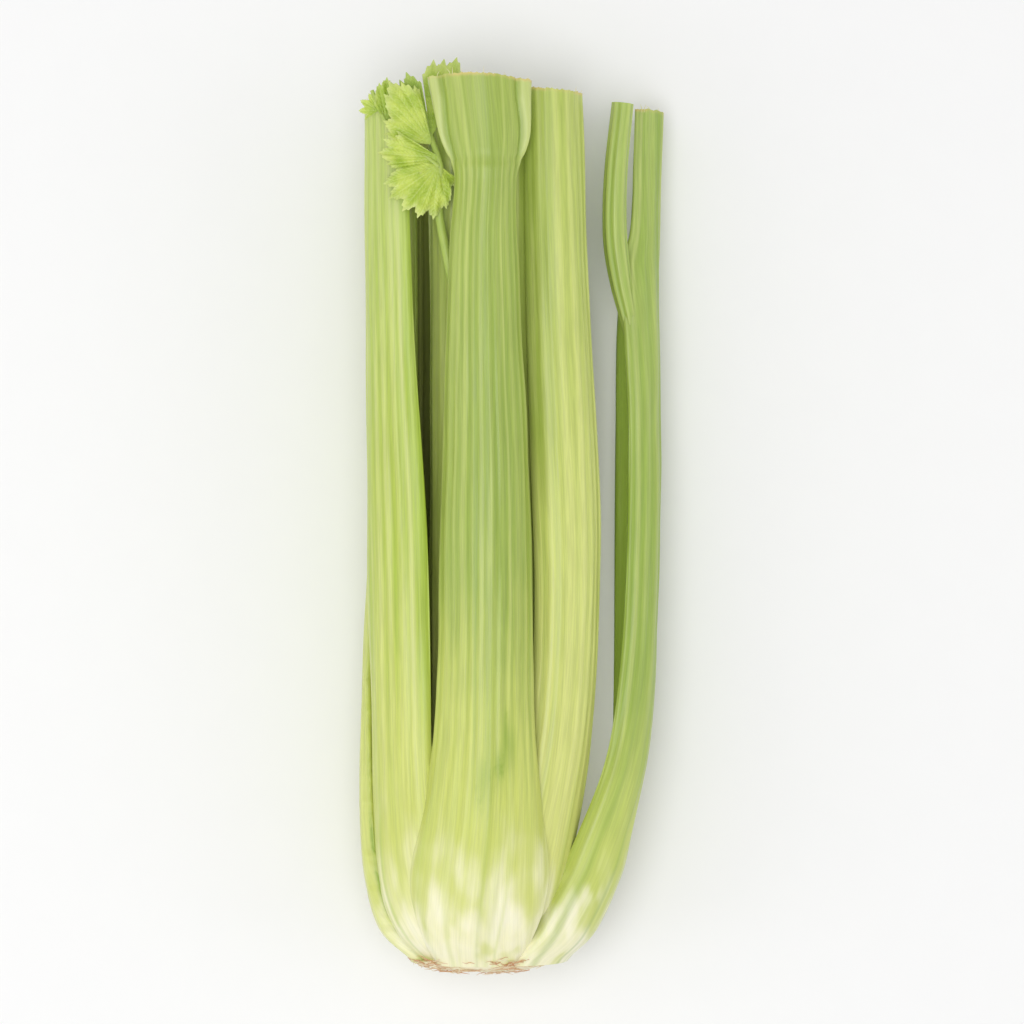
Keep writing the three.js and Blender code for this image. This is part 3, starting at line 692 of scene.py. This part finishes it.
# The crown: a low dome whose foot is the cut face, with a step for each ring of stalks
crown = {
    "profile": [[0, 0], [11, 0.2], [18, 1.0], [23.2, 2.4], [25.8, 4.4], [15.2, 4.4], [14.8, 8.6],
                [8.6, 8.6], [7, 13.6], [0, 13.6]],
    "feet": [[28.6, 7.2], [32, 11]],  # the line on which the stalks' feet carry the dome on
    "axisHeight": 35.2,
    "faceLegs": 4,  # the cut face has this many legs of the profile
    "faceUpTo": 4.3,
    "middles": (0.2, 13.6),  # stations of the points that close the foot and the top
    "around": 160,
    "rowsPerLeg": 9,
    "rimRadius": 22.5,
    "rimWidth": 1.2,
    "roughness": 0.25,
    "roughSize": 9,
    "ringHeight": 0.09,
    "ringSpacing": 8.2,
    "shreds": 130,
    "shredLength": (3, 11),
    "faceShreds": (15, 24),  # from radius to radius
    "rimShreds": (26, 0.9),  # radius, spread
    "shredThick": (0.08, 0.22),
    "shredTip": 0.04,
    "tufts": [(56, 9), (66, 8), (74, 8), (112, 14), (135, 12), (158, 8), (250, 25)],  # degrees, spread
}


def crownPart():
    # a profile turned about the head's axis, flattened as the head is, with a rough cut face
    profile = np.array(crown["profile"], float)
    legs = [
        np.linspace(a, b, crown["rowsPerLeg"], endpoint=False) for a, b in zip(profile, profile[1:])
    ]
    line = np.concatenate(legs + [profile[-1:]])[1:-1]
    rows, columns = len(line), crown["around"]
    angle = np.linspace(0, 2 * np.pi, columns, endpoint=False)
    radius, station = line[:, :1], line[:, 1:]
    cutFace = station < crown["faceUpTo"]
    size = crown["roughSize"]
    rough = softNoise(radius * np.cos(angle) / size, radius * np.sin(angle) / size, 71) - 1
    ringMark = crown["ringHeight"] * np.cos(radius / crown["ringSpacing"] * 2 * np.pi)
    marks = crown["roughness"] * rough + ringMark * smoothStep(radius, 3, 8)
    lift = np.where(cutFace, -marks * smoothStep(radius, 25, 21), 0)
    x = head["axisX"] + radius * np.cos(angle)
    z = crown["axisHeight"] + head["flatness"] * radius * np.sin(angle)
    y = head["crownY"] + station + lift
    points = np.stack([x, y, z], -1).reshape(-1, 3)
    middles = [[head["axisX"], head["crownY"] + at, crown["axisHeight"]] for at in crown["middles"]]
    rim = bump(radius, crown["rimRadius"], crown["rimWidth"]) * (station < 4.5)
    return makePart(
        np.concatenate([points, middles]),
        ringQuads(rows, columns),
        endFans(rows, columns),
        rim=np.r_[np.broadcast_to(rim, y.shape).ravel(), 0, 0],
        disc=np.r_[np.broadcast_to(radius, y.shape).ravel(), 0, 0],
    )


def shredParts():
    # thin browned fibres along the rim of the cut: each a bent rod that keeps near the crown's
    # surface and runs mostly round it, in a few thick tufts and many single ones
    rng = np.random.default_rng(5)
    profile = np.array(crown["profile"][:crown["faceLegs"] + 1] + crown["feet"], float)
    parts = []
    for _ in range(crown["shreds"]):
        tuft = rng.choice(len(crown["tufts"]) + 3)
        turn, spread = crown["tufts"][tuft] if tuft < len(crown["tufts"]) else (rng.uniform(0, 360), 20)
        turn = np.radians(rng.normal(turn, spread))
        length = rng.uniform(*crown["shredLength"])
        radius = rng.choice([rng.uniform(*crown["faceShreds"]), rng.normal(*crown["rimShreds"])])
        steps = np.linspace(0, 1, 5)
        angle = turn + rng.choice([-1, 1]) * length / radius * steps
        reach = radius + rng.normal(0, 0.35, 5) + steps * rng.uniform(-1.5, 1.5)
        lift = 0.05 + np.abs(rng.normal(0, 0.2, 5)) + steps**3 * rng.uniform(0, 0.9)
        station = np.interp(reach, profile[:, 0], profile[:, 1]) - lift
        path = np.stack([
            head["axisX"] + (reach + 0.3 * lift) * np.cos(angle),
            head["crownY"] + np.maximum(station, -0.6),
            crown["axisHeight"] + head["flatness"] * (reach + 0.3 * lift) * np.sin(angle),
        ], -1)
        thick = rng.uniform(*crown["shredThick"])
        part = rodPart(path, [thick, thick, crown["shredTip"]], sides=5, steps=8, up=(0.1, 1, 0.3))
        part["values"] = {"shred": np.full(len(part["points"]), rng.uniform(0.15, 1))}
        parts.append(part)
    return parts


# The spray of leaves. Tips are the ends of a leaflet's lobes, right of the axis and along, sides
# the directions of its two side edges in degrees, and lean the blade's slope in both ways.
spray = {
    "stem": [[-9.5, 242, 57.8], [-12.6, 258, 57.9], [-15, 272, 57.8], [-14.6, 287, 60.8],
             [-18.2, 299, 58.2]],
    "stemRadii": [1.5, 1.7, 1.6, 1.4, 0.9],
    "twigs": [[[-15, 287, 61.8], [-24, 294.4, 61.8], [-33, 302, 62], [-38.6, 314, 62]]],
    "twigRadii": [1, 0.8, 0.7],
    "rowsAlong": 24,
    "columnDegrees": 0.6,
    "thickness": 0.55,
    "tipSlope": 1.45,  # how fast a lobe falls back on both sides of its tip
    "tipPower": 1.15,
    "leastReach": 0.4,
    "toothDegrees": 4.6,
    "toothDepth": 0.05,
    "ruffle": 0.055,
    "crumple": 0.5,
    "crumpleSize": 9,
    "veinDepth": 0.3,
    "veinWidth": 0.7,
    "leaflets": [
        {"foot": [-14.8, 287.5, 61.8], "sides": [172, 325], "lean": [-0.3, -0.1], "cup": -0.2,
         "tips": [[-34.6, 280.5], [-32.6, 275.4], [-28, 271], [-22.6, 268.6], [-17, 268.2],
                  [-12.2, 272], [-9.4, 280]]},
        {"foot": [-14.4, 290.2, 61.4], "sides": [148, 222], "lean": [-0.25, 0.05], "cup": -0.08,
         "tips": [[-30, 299.5], [-34.6, 296.4], [-36.6, 291.6], [-33.4, 287.6], [-26, 284.6]]},
        {"foot": [-17.2, 295, 59.6], "sides": [103, 176], "lean": [-0.3, 0.15], "cup": -0.02,
         "tips": [[-34, 298.6], [-34.6, 303], [-33.2, 307.6], [-34.4, 312.4], [-32.8, 317.2],
                  [-28.2, 316.8], [-23.6, 315.8], [-21.2, 312.4]]},
        # dark is painted shade on the leaflets that lie back and turn away from the light
        {"foot": [-17.6, 297, 58.8], "sides": [100, 128], "lean": [-0.15, 0.08], "cup": -0.08, "dark": 1,
         "tips": [[-29, 318.2], [-26.6, 320.9], [-23.8, 319]]},
        {"foot": [-17.8, 297.4, 58.4], "sides": [62, 98], "lean": [0, -0.3], "cup": -0.04, "dark": 0.3,
         "tips": [[-19.2, 322], [-17, 326.4], [-13.2, 326.8], [-8.6, 327.2], [-8.8, 321.5]]},
        {"foot": [-33.2, 302.4, 62], "sides": [70, 126], "lean": [-0.15, 0.1], "cup": 0.05, "dark": 0.5,
         "tips": [[-37.6, 310.4], [-36, 316.6], [-33.2, 318.6], [-30, 316.4], [-28.6, 310.5]]},
        {"foot": [-36, 307, 62], "sides": [84, 214], "lean": [-0.1, 0.1], "cup": -0.15, "dark": 0.2,
         "tips": [[-35.8, 313], [-39.8, 313], [-42.8, 310.6], [-43.4, 306.8], [-41.4, 303.2]]},
    ],
}


def leafletReach(theta, leaflet):
    # how far the blade reaches in a direction: each lobe falls back on both sides of its tip,
    # the furthest lobe counts, and small teeth are cut in between the tips
    footX, footS = leaflet["foot"][:2]
    tips = np.array(leaflet["tips"], float) - (footX, footS)
    lengths = np.hypot(tips[:, 0], tips[:, 1])
    directions = np.arctan2(tips[:, 1], tips[:, 0]) % (2 * np.pi)
    off = np.abs(theta[..., None] - directions)
    reach = (lengths * (1 - spray["tipSlope"] * off ** spray["tipPower"])).max(-1)
    q = off.min(-1) / np.radians(spray["toothDegrees"])
    tooth = spray["toothDepth"] * np.abs(2 * ((q + 0.5) % 1) - 1)
    return np.maximum(reach, spray["leastReach"] * lengths.max()) * (1 - tooth), off.min(-1)


def leafletPart(leaflet, seed):
    # a fan about its foot: share of the reach along, direction across; it leans, cups, sinks
    # along the lobes' veins and ripples towards its margin; two faces closed round the rim
    first, last = np.radians(leaflet["sides"])
    columns = int(np.degrees(last - first) / spray["columnDegrees"]) + 1
    rows = spray["rowsAlong"]
    share = (0.04 + 0.96 * np.linspace(0, 1, rows) ** 0.9)[:, None]
    theta = np.linspace(first, last, columns)[None]
    reach, off = leafletReach(theta, leaflet)
    r = share * reach
    x, s = r * np.cos(theta), r * np.sin(theta)
    size = reach.max()
    fromVein = off * r
    lean = leaflet["lean"]
    ruffle = softNoise(theta * 3.2 + 0 * share, share * 0.8, seed)
    crumple = softNoise(x / spray["crumpleSize"], s / spray["crumpleSize"], seed + 1)
    lift = lean[0] * x + lean[1] * s + leaflet["cup"] * r * r / size
    lift = lift + spray["ruffle"] * size * share**2 * ruffle + spray["crumple"] * share * crumple
    lift = lift - spray["veinDepth"] * bump(fromVein, 0, spray["veinWidth"]) * smoothStep(share, 0, 0.3)
    footX, footS, footZ = leaflet["foot"]
    middle = place(np.stack([footX + x, footS + s, footZ + lift], -1))
    half = spray["thickness"] / 2 * (1 - 0.5 * share**4) + 0 * r  # thins towards the margin
    halfUp = np.stack([0 * r, 0 * r, half], -1)
    faces = [middle + halfUp, middle - halfUp]
    count = rows * columns
    top = gridQuads(rows, columns)
    bottom = gridQuads(rows, columns, count)[:, ::-1]
    edge = np.concatenate([
        np.arange(columns),
        np.arange(1, rows) * columns + columns - 1,
        (rows - 1) * columns + np.arange(columns - 2, -1, -1),
        np.arange(rows - 2, 0, -1) * columns,
    ])
    following = np.roll(edge, -1)
    walls = np.stack([edge, following, following + count, edge + count], -1)

    def both(value):
        return np.tile(np.broadcast_to(value, r.shape).ravel(), 2)

    return makePart(
        np.concatenate([f.reshape(-1, 3) for f in faces]),
        np.concatenate([top, bottom, walls]),
        vein=both(bump(fromVein, 0, 0.16 + 0.1 * (1 - share))),
        share=both(share),
        fine=both(r - 1.2 * fromVein),
        dark=both(leaflet.get("dark", 0.0)),
    )


def sprayPart():
    stem = rodPart(place(spray["stem"]), spray["stemRadii"], sides=14, steps=40)
    parts = [stem]
    for twig in spray["twigs"]:
        parts.append(rodPart(place(twig), spray["twigRadii"], sides=10, steps=24))
    for part in parts:
        part["values"] = {"stem": np.ones(len(part["points"]))}
    for index, leaflet in enumerate(spray["leaflets"]):
        parts.append(leafletPart(leaflet, 40 + index))
    return joinParts(parts)


# Materials

def tint(red, green, blue):
    # a colour as a screen shows it, 0 to 255, to the linear one that a shader takes
    c = np.array([red, green, blue]) / 255
    linear = np.where(c <= 0.04045, c / 12.92, ((c + 0.055) / 1.055) ** 2.4)
    return (*linear.tolist(), 1.0)


def put(tree, kind, options=None, inputs=None):
    # a node with its options set, and each input set to a value or linked to a socket
    node = tree.nodes.new("ShaderNode" + kind)
    for key, value in (options or {}).items():
        setattr(node, key, value)
    for key, value in (inputs or {}).items():
        if isinstance(value, bpy.types.NodeSocket):
            tree.links.new(value, node.inputs[key])
        else:
            node.inputs[key].default_value = value
    return node


def calc(tree, operation, a, b=0.0):
    return put(tree, "Math", {"operation": operation}, {0: a, 1: b}).outputs[0]


def blendColours(tree, factor, a, b, mode="MIX"):
    node = put(tree, "Mix", {"data_type": "RGBA", "blend_type": mode}, {0: factor, 6: a, 7: b})
    return node.outputs[2]


def ranged(tree, value, low, high, first=0.0, last=1.0):
    node = put(tree, "MapRange", {"interpolation_type": "SMOOTHSTEP"},
               {0: value, 1: low, 2: high, 3: first, 4: last})
    return node.outputs[0]


def times(tree, a, b):
    return calc(tree, "MULTIPLY", a, b)


def field(tree, name, output="Fac"):
    return put(tree, "Attribute", {"attribute_name": name}).outputs[output]


def noiseAt(tree, place, scale, detail=2.0):
    return put(tree, "TexNoise", None, {"Vector": place, "Scale": scale, "Detail": detail}).outputs[0]


def objectPlace(tree):
    return put(tree, "TexCoord").outputs["Object"]


def paintOver(tree, colour, layers):
    # each layer is a factor and the colour that it mixes in, over the layers before it
    for factor, layer in layers:
        colour = blendColours(tree, factor, colour, layer)
    return colour


def dressShader(tree, shader, colour, height, relief, sockets):
    # links the colour and the relief (strength and distance), and sets what is even all over
    bumpNode = put(tree, "Bump", None, {"Strength": relief[0], "Distance": relief[1], "Height": height})
    tree.links.new(colour, shader.inputs["Base Color"])
    tree.links.new(bumpNode.outputs[0], shader.inputs["Normal"])
    for socket, value in sockets.items():
        shader.inputs[socket].default_value = value


# Scales of the noise on the grain; along the grain, fine and broad are scaled by drawn as well
texture = {"fine": 2.2, "broad": 0.35, "drawn": 0.03, "mottle": 0.12}


def newGroup(name, results):
    # a node group that takes the grain and gives some numbers
    tree = bpy.data.node_groups.new(name, "ShaderNodeTree")
    tree.interface.new_socket("Grain", in_out="INPUT", socket_type="NodeSocketVector")
    for result in results:
        tree.interface.new_socket(result, in_out="OUTPUT", socket_type="NodeSocketFloat")
    return tree, tree.nodes.new("NodeGroupInput").outputs[0], tree.nodes.new("NodeGroupOutput").inputs


def streakGroup():
    # noise that is drawn out along the grain: fine threads and broad soft streaks
    tree, grain, result = newGroup("streaks", ["Threads", "Streaks"])
    parts = put(tree, "SeparateXYZ", None, {0: grain}).outputs
    along = times(tree, parts[1], texture["drawn"])
    drawn = put(tree, "CombineXYZ", None, {0: parts[0], 1: along, 2: parts[2]}).outputs[0]
    tree.links.new(noiseAt(tree, drawn, texture["fine"], 3.0), result["Threads"])
    tree.links.new(noiseAt(tree, drawn, texture["broad"], 2.0), result["Streaks"])
    return tree


def mottleGroup():
    # soft blotches with a ragged edge, for waterlogged or deeper green patches, and for the painted
    # shadow line that is one of the patches
    tree, grain, result = newGroup("mottle", ["Blotches"])
    squeezed = put(tree, "Mapping", None, {"Vector": grain, "Scale": (1.0, 0.45, 1.0)}).outputs[0]
    noise = put(tree, "TexNoise", None,
                {"Vector": squeezed, "Scale": texture["mottle"], "Detail": 4.0, "Roughness": 0.6})
    tree.links.new(ranged(tree, noise.outputs[0], 0.42, 0.68), result["Blotches"])
    return tree


groups = {"streaks": streakGroup(), "mottle": mottleGroup()}


def putGroup(tree, name, grain):
    return put(tree, "Group", {"node_tree": groups[name]}, {"Grain": grain}).outputs


def startMaterial(name):
    material = bpy.data.materials.new(name)
    material.use_nodes = True
    tree = material.node_tree
    tree.nodes.clear()
    output = tree.nodes.new("ShaderNodeOutputMaterial")
    shader = tree.nodes.new("ShaderNodeBsdfPrincipled")
    tree.links.new(shader.outputs[0], output.inputs[0])
    return material, tree, shader


def makePalette(low, body, top, crest, valley, **others):
    # a stalk's colours from its root up, those of its ribs' crests and valleys, how far up its
    # pale foot reaches, and how strongly the ribs and their own shades are painted
    colours = {"low": low, "body": body, "top": top, "crest": crest, "valley": valley}
    palette = {"root": (247, 243, 204), "channel": low, **colours}
    amounts = {"crestMix": 0.22, "valleyMix": 0.26, "shadeMix": 0.4}
    palette = {**palette, **amounts, **others}
    return {key: tint(*value) if isinstance(value, tuple) else value for key, value in palette.items()}


palettes = {
    "front": makePalette((199, 207, 103), (152, 173, 68), (162, 181, 81), (198, 209, 122),
                         (134, 163, 54), paleUpTo=70),
    "leftFront": makePalette((201, 208, 105), (176, 192, 75), (190, 204, 116), (216, 222, 146),
                             (158, 188, 46), paleUpTo=74),
    "rightFront": makePalette((210, 214, 122), (203, 211, 114), (183, 198, 96), (214, 220, 139),
                              (152, 176, 65), paleUpTo=60, shadeMix=0.35),
    "splayed": makePalette((196, 207, 103), (156, 179, 74), (175, 194, 100), (191, 203, 122),
                           (134, 166, 56), channel=(190, 220, 92), paleUpTo=26, crestMix=0.25,
                           valleyMix=0.3, shadeMix=0.45),
    "plain": makePalette((203, 209, 110), (188, 200, 96), (179, 193, 93), (207, 214, 131),
                         (154, 174, 60), paleUpTo=50, crestMix=0.3, valleyMix=0.35),
    # the inner stalks' body and top are a deeper olive than the outer stalks': painted shade, as they lie
    # deep between the outer stalks
    "inner": makePalette((209, 212, 129), (174, 188, 89), (165, 183, 81), (201, 210, 129),
                         (146, 168, 67), root=(246, 243, 214), paleUpTo=80, crestMix=0.3,
                         valleyMix=0.35, shadeMix=0.3),
}
flesh = {
    "white": tint(249, 246, 226),
    "lime": tint(214, 219, 128),
    "rod": tint(214, 222, 148),
    "patch": tint(126, 158, 36),
    "browned": tint(214, 190, 120),
    "cut": tint(232, 232, 178),
    "cloudScale": 115.0,
    "relief": (0.35, 0.0004),  # strength, and height in metres
    "sockets": {
        "Subsurface Weight": 0.12,
        "Subsurface Radius": (0.9, 1.0, 0.35),
        "Subsurface Scale": 0.003,
        "Coat Weight": 0.12,
        "Coat Roughness": 0.22,
    },
}


def stalkMaterial(name, palette):
    # cream at the root, then lime, then green; pale crests, deeper valleys, threads and streaks
    # along the grain, bands that are partly painted highlight and painted shade, blotches and a
    # painted shadow line, a pale channel, and a browned rim at the cuts
    material, tree, shader = startMaterial(name)
    grain = field(tree, "grain", "Vector")
    station = put(tree, "SeparateXYZ", None, {0: grain}).outputs[1]
    threads, streaks = putGroup(tree, "streaks", grain)
    blotches = putGroup(tree, "mottle", grain)[0]
    # the cream and the lime reach further up along some streaks and in some soft clouds, which
    # run on across neighbouring stalks
    spot = put(tree, "Mapping", None, {"Vector": objectPlace(tree), "Scale": (1.0, 0.4, 1.0)}).outputs[0]
    cloud = noiseAt(tree, spot, flesh["cloudScale"], 1.5)
    reachUp = calc(tree, "ADD", times(tree, streaks, 30.0), times(tree, cloud, 60.0))
    shifted = calc(tree, "SUBTRACT", station, reachUp)
    pale = palette["paleUpTo"]
    nearRoot = ranged(tree, station, 46.0, 16.0)
    colour = paintOver(tree, palette["root"], [
        (ranged(tree, shifted, -40.0, max(pale - 57.0, -10.0)), palette["low"]),
        (ranged(tree, shifted, pale - 47.0, pale + 48.0), palette["body"]),
        (ranged(tree, station, 150.0, 300.0), palette["top"]),
        (times(tree, ranged(tree, cloud, 0.45, 0.72, 0.0, 0.5), nearRoot), flesh["white"]),
        (times(tree, ranged(tree, cloud, 0.47, 0.33, 0.0, 0.6), nearRoot), flesh["lime"]),
    ])
    # ribs and streaks, which are faint near the root, and the ribs' own shades
    grown = ranged(tree, station, 25.0, 130.0, 0.1, 1.0)
    crest = field(tree, "crest")
    peak = times(tree, ranged(tree, crest, 0.35, 1.0), grown)
    dip = times(tree, ranged(tree, crest, 0.6, 0.0), grown)
    # the shade holds the ribs' own tones and the bands, some of which are painted highlight and painted
    # shade: lighter goes to the crest colour, darker to the valley colour
    shade = field(tree, "shade")
    lighter = calc(tree, "MAXIMUM", shade, 0.0)
    darker = calc(tree, "MAXIMUM", times(tree, shade, -1.0), 0.0)
    paleStreak = times(tree, ranged(tree, streaks, 0.5, 0.75), 0.35)
    darkStreak = times(tree, ranged(tree, streaks, 0.5, 0.25), 0.35)
    colour = paintOver(tree, colour, [
        (times(tree, dip, palette["valleyMix"]), palette["valley"]),
        (times(tree, peak, palette["crestMix"]), palette["crest"]),
        (times(tree, lighter, palette["shadeMix"]), palette["crest"]),
        (times(tree, darker, palette["shadeMix"]), palette["valley"]),
        (times(tree, paleStreak, grown), palette["crest"]),
        (times(tree, darkStreak, grown), palette["valley"]),
    ])
    thread = ranged(tree, threads, 0.3, 0.7, 0.9, 1.06)
    threadColour = put(tree, "CombineColor", None, {0: thread, 1: thread, 2: thread}).outputs[0]
    threaded = ranged(tree, station, 10.0, 80.0, 0.4, 1.0)
    colour = blendColours(tree, threaded, colour, threadColour, "MULTIPLY")
    # patches: deeper green blotches, and a painted shadow line under the left stalk's torn edge
    patch = times(tree, field(tree, "patch"), ranged(tree, blotches, 0.0, 0.5, 0.5, 1.0))
    nearCut = ranged(tree, field(tree, "fromTop"), 1.6, 0.1)
    cut = field(tree, "cut")
    colour = paintOver(tree, colour, [
        (times(tree, field(tree, "channel"), 0.5), palette["channel"]),
        (times(tree, field(tree, "rod"), 0.55), flesh["rod"]),
        (times(tree, field(tree, "groove"), 0.6), palette["valley"]),
        (times(tree, patch, 0.9), flesh["patch"]),
        (times(tree, nearCut, ranged(tree, blotches, 0.0, 0.5, 0.25, 0.75)), flesh["browned"]),
        (times(tree, cut, 0.9), flesh["cut"]),
    ])
    roughness = calc(tree, "ADD", ranged(tree, threads, 0.2, 0.8, 0.34, 0.5), times(tree, cut, 0.2))
    tree.links.new(roughness, shader.inputs["Roughness"])
    height = calc(tree, "ADD", times(tree, threads, 0.5), times(tree, streaks, 0.5))
    dressShader(tree, shader, colour, height, flesh["relief"], flesh["sockets"])
    return material


rootCut = {
    "cream": tint(243, 237, 204),
    "ring": tint(226, 216, 168),
    "browned": tint(206, 160, 104),
    "shred": tint(194, 134, 88),
    "speck": tint(190, 150, 100),
    "relief": (0.5, 0.0006),
    "sockets": {"Roughness": 0.62},
}


def crownMaterial():
    # cream with wavering rings, a browned rim, brown shreds and a few specks
    material, tree, shader = startMaterial("rootCut")
    place3d = objectPlace(tree)
    rough = noiseAt(tree, place3d, 420.0, 4.0)
    wavering = calc(tree, "ADD", field(tree, "disc"), times(tree, noiseAt(tree, place3d, 70.0), 16.0))
    rings = calc(tree, "SINE", times(tree, wavering, 1.1))
    ringed = times(tree, ranged(tree, rings, -0.6, 1.0), ranged(tree, rough, 0.35, 0.6, 0.2, 0.9))
    colour = paintOver(tree, rootCut["cream"], [
        (ringed, rootCut["ring"]),
        (times(tree, field(tree, "rim"), ranged(tree, rough, 0.42, 0.66, 0.0, 0.6)), rootCut["browned"]),
        (field(tree, "shred"), rootCut["shred"]),
        (ranged(tree, rough, 0.62, 0.8, 0.0, 0.2), rootCut["speck"]),
    ])
    dressShader(tree, shader, colour, rough, rootCut["relief"], rootCut["sockets"])
    return material


blade = {
    "deep": tint(164, 189, 62),
    "light": tint(196, 213, 94),
    "sideVein": tint(218, 228, 150),
    "vein": tint(214, 226, 146),
    "margin": tint(220, 229, 154),
    "foot": tint(140, 171, 48),
    "shaded": tint(140, 170, 60),
    "stem": tint(170, 190, 96),
    "relief": (0.25, 0.0003),
    "sockets": {
        "Roughness": 0.45,
        "Subsurface Weight": 0.15,
        "Subsurface Radius": (0.8, 1.0, 0.3),
        "Subsurface Scale": 0.0015,
    },
}


def leafMaterial():
    # clouded green with paler veins, side veins and margin, deeper towards a leaflet's foot as
    # painted shade of a fold there, and painted shade on the leaflets marked dark
    material, tree, shader = startMaterial("leafBlade")
    share = field(tree, "share")
    sideVeins = calc(tree, "SINE", times(tree, field(tree, "fine"), 4.2))
    colour = paintOver(tree, blade["deep"], [
        (ranged(tree, noiseAt(tree, objectPlace(tree), 160.0, 3.0), 0.35, 0.65), blade["light"]),
        (ranged(tree, sideVeins, 0.7, 1.0, 0.0, 0.14), blade["sideVein"]),
        (ranged(tree, field(tree, "vein"), 0.2, 1.0, 0.0, 0.26), blade["vein"]),
        (ranged(tree, share, 0.82, 1.0, 0.0, 0.5), blade["margin"]),
        # painted shade of a fold towards the foot, and painted shade on the leaflets marked dark
        (ranged(tree, share, 0.55, 0.1, 0.0, 0.4), blade["foot"]),
        (times(tree, field(tree, "dark"), 0.6), blade["shaded"]),
        (times(tree, field(tree, "stem"), 0.7), blade["stem"]),
    ])
    dressShader(tree, shader, colour, sideVeins, blade["relief"], blade["sockets"])
    return material


materials = {name: stalkMaterial(name + "Flesh", palette) for name, palette in palettes.items()}
print("materials made")

# Pieces
for index, (node, stalk) in enumerate(stalks.items()):
    seed = 10 * index + 3
    part = stalkPart(stalk, seed)
    if node == "splayed_stalk":
        rod = rodPart(place(branchPath), **branch)
        rod["values"]["fromTop"] = np.full(len(rod["points"]), 20.0)
        part = joinParts([part, rod])
    part = joinParts([part] + topFibres(stalk, seed))
    makePiece(node + "_ribbed", part, materials[stalk["material"]], node)
makePiece("crown_cut", joinParts([crownPart()] + shredParts()), crownMaterial(), "crown")
makePiece("leaf_spray", sprayPart(), leafMaterial(), "front_leaf_spray")
print("pieces made")

# Floor, light and camera
studio = {
    "photoWidth": 0.3686,  # metres that the picture's side spans at the head
    "lookAt": (-0.00038, 0.00128, 0.035),
    "lens": 150.0,
    "sensor": 36.0,
    "floorSize": 6.0,
    "floorColour": tint(243, 243, 243),
    "floorGrain": tint(238, 238, 238),
    "world": 0.62,
    "lamps": [
        {"name": "overhead", "at": (-0.15, -0.1, 1.6), "size": 1.0, "power": 10.5},
        {"name": "rightFill", "at": (1.3, -0.1, 0.7), "size": 1.0, "power": 2.2},
        {"name": "leftFill", "at": (-1.3, -0.2, 0.6), "size": 1.0, "power": 3.0},
    ],
}

floorMesh = bpy.data.meshes.new("floor")
reach = studio["floorSize"] / 2
floorMesh.from_pydata([(-reach, -reach, 0), (reach, -reach, 0), (reach, reach, 0), (-reach, reach, 0)],
                      [], [(0, 1, 2, 3)])
floor = bpy.data.objects.new("floor", floorMesh)
bpy.context.scene.collection.objects.link(floor)
floorMaterial, floorTree, floorShader = startMaterial("paleFloor")
floorGrain = ranged(floorTree, noiseAt(floorTree, objectPlace(floorTree), 60.0), 0.3, 0.7, 0.0, 0.1)
floorColour = blendColours(floorTree, floorGrain, studio["floorColour"], studio["floorGrain"])
floorTree.links.new(floorColour, floorShader.inputs["Base Color"])
floorShader.inputs["Roughness"].default_value = 0.8
floorMesh.materials.append(floorMaterial)

lookAt = Vector(studio["lookAt"])
for lamp in studio["lamps"]:
    data = bpy.data.lights.new(lamp["name"], "AREA")
    data.shape = "DISK"
    data.size = lamp["size"]
    data.energy = lamp["power"]
    light = bpy.data.objects.new(lamp["name"], data)
    light.location = lamp["at"]
    light.rotation_euler = (lookAt - light.location).to_track_quat("-Z", "Y").to_euler()
    light.visible_camera = False
    bpy.context.scene.collection.objects.link(light)

world = bpy.data.worlds.new("studioAir")
world.use_nodes = True
background = world.node_tree.nodes["Background"]
background.inputs[0].default_value = (1.0, 1.0, 1.0, 1.0)
background.inputs[1].default_value = studio["world"]
bpy.context.scene.world = world
bpy.context.scene.view_settings.view_transform = "Standard"

cameraData = bpy.data.cameras.new("camera")
cameraData.lens = studio["lens"]
cameraData.sensor_width = studio["sensor"]
distance = studio["photoWidth"] * studio["lens"] / studio["sensor"]
cameraData.clip_end = 20
camera = bpy.data.objects.new("camera", cameraData)
camera.location = lookAt + Vector((0, 0, distance))
bpy.context.scene.collection.objects.link(camera)
bpy.context.scene.camera = camera
print("studio made")
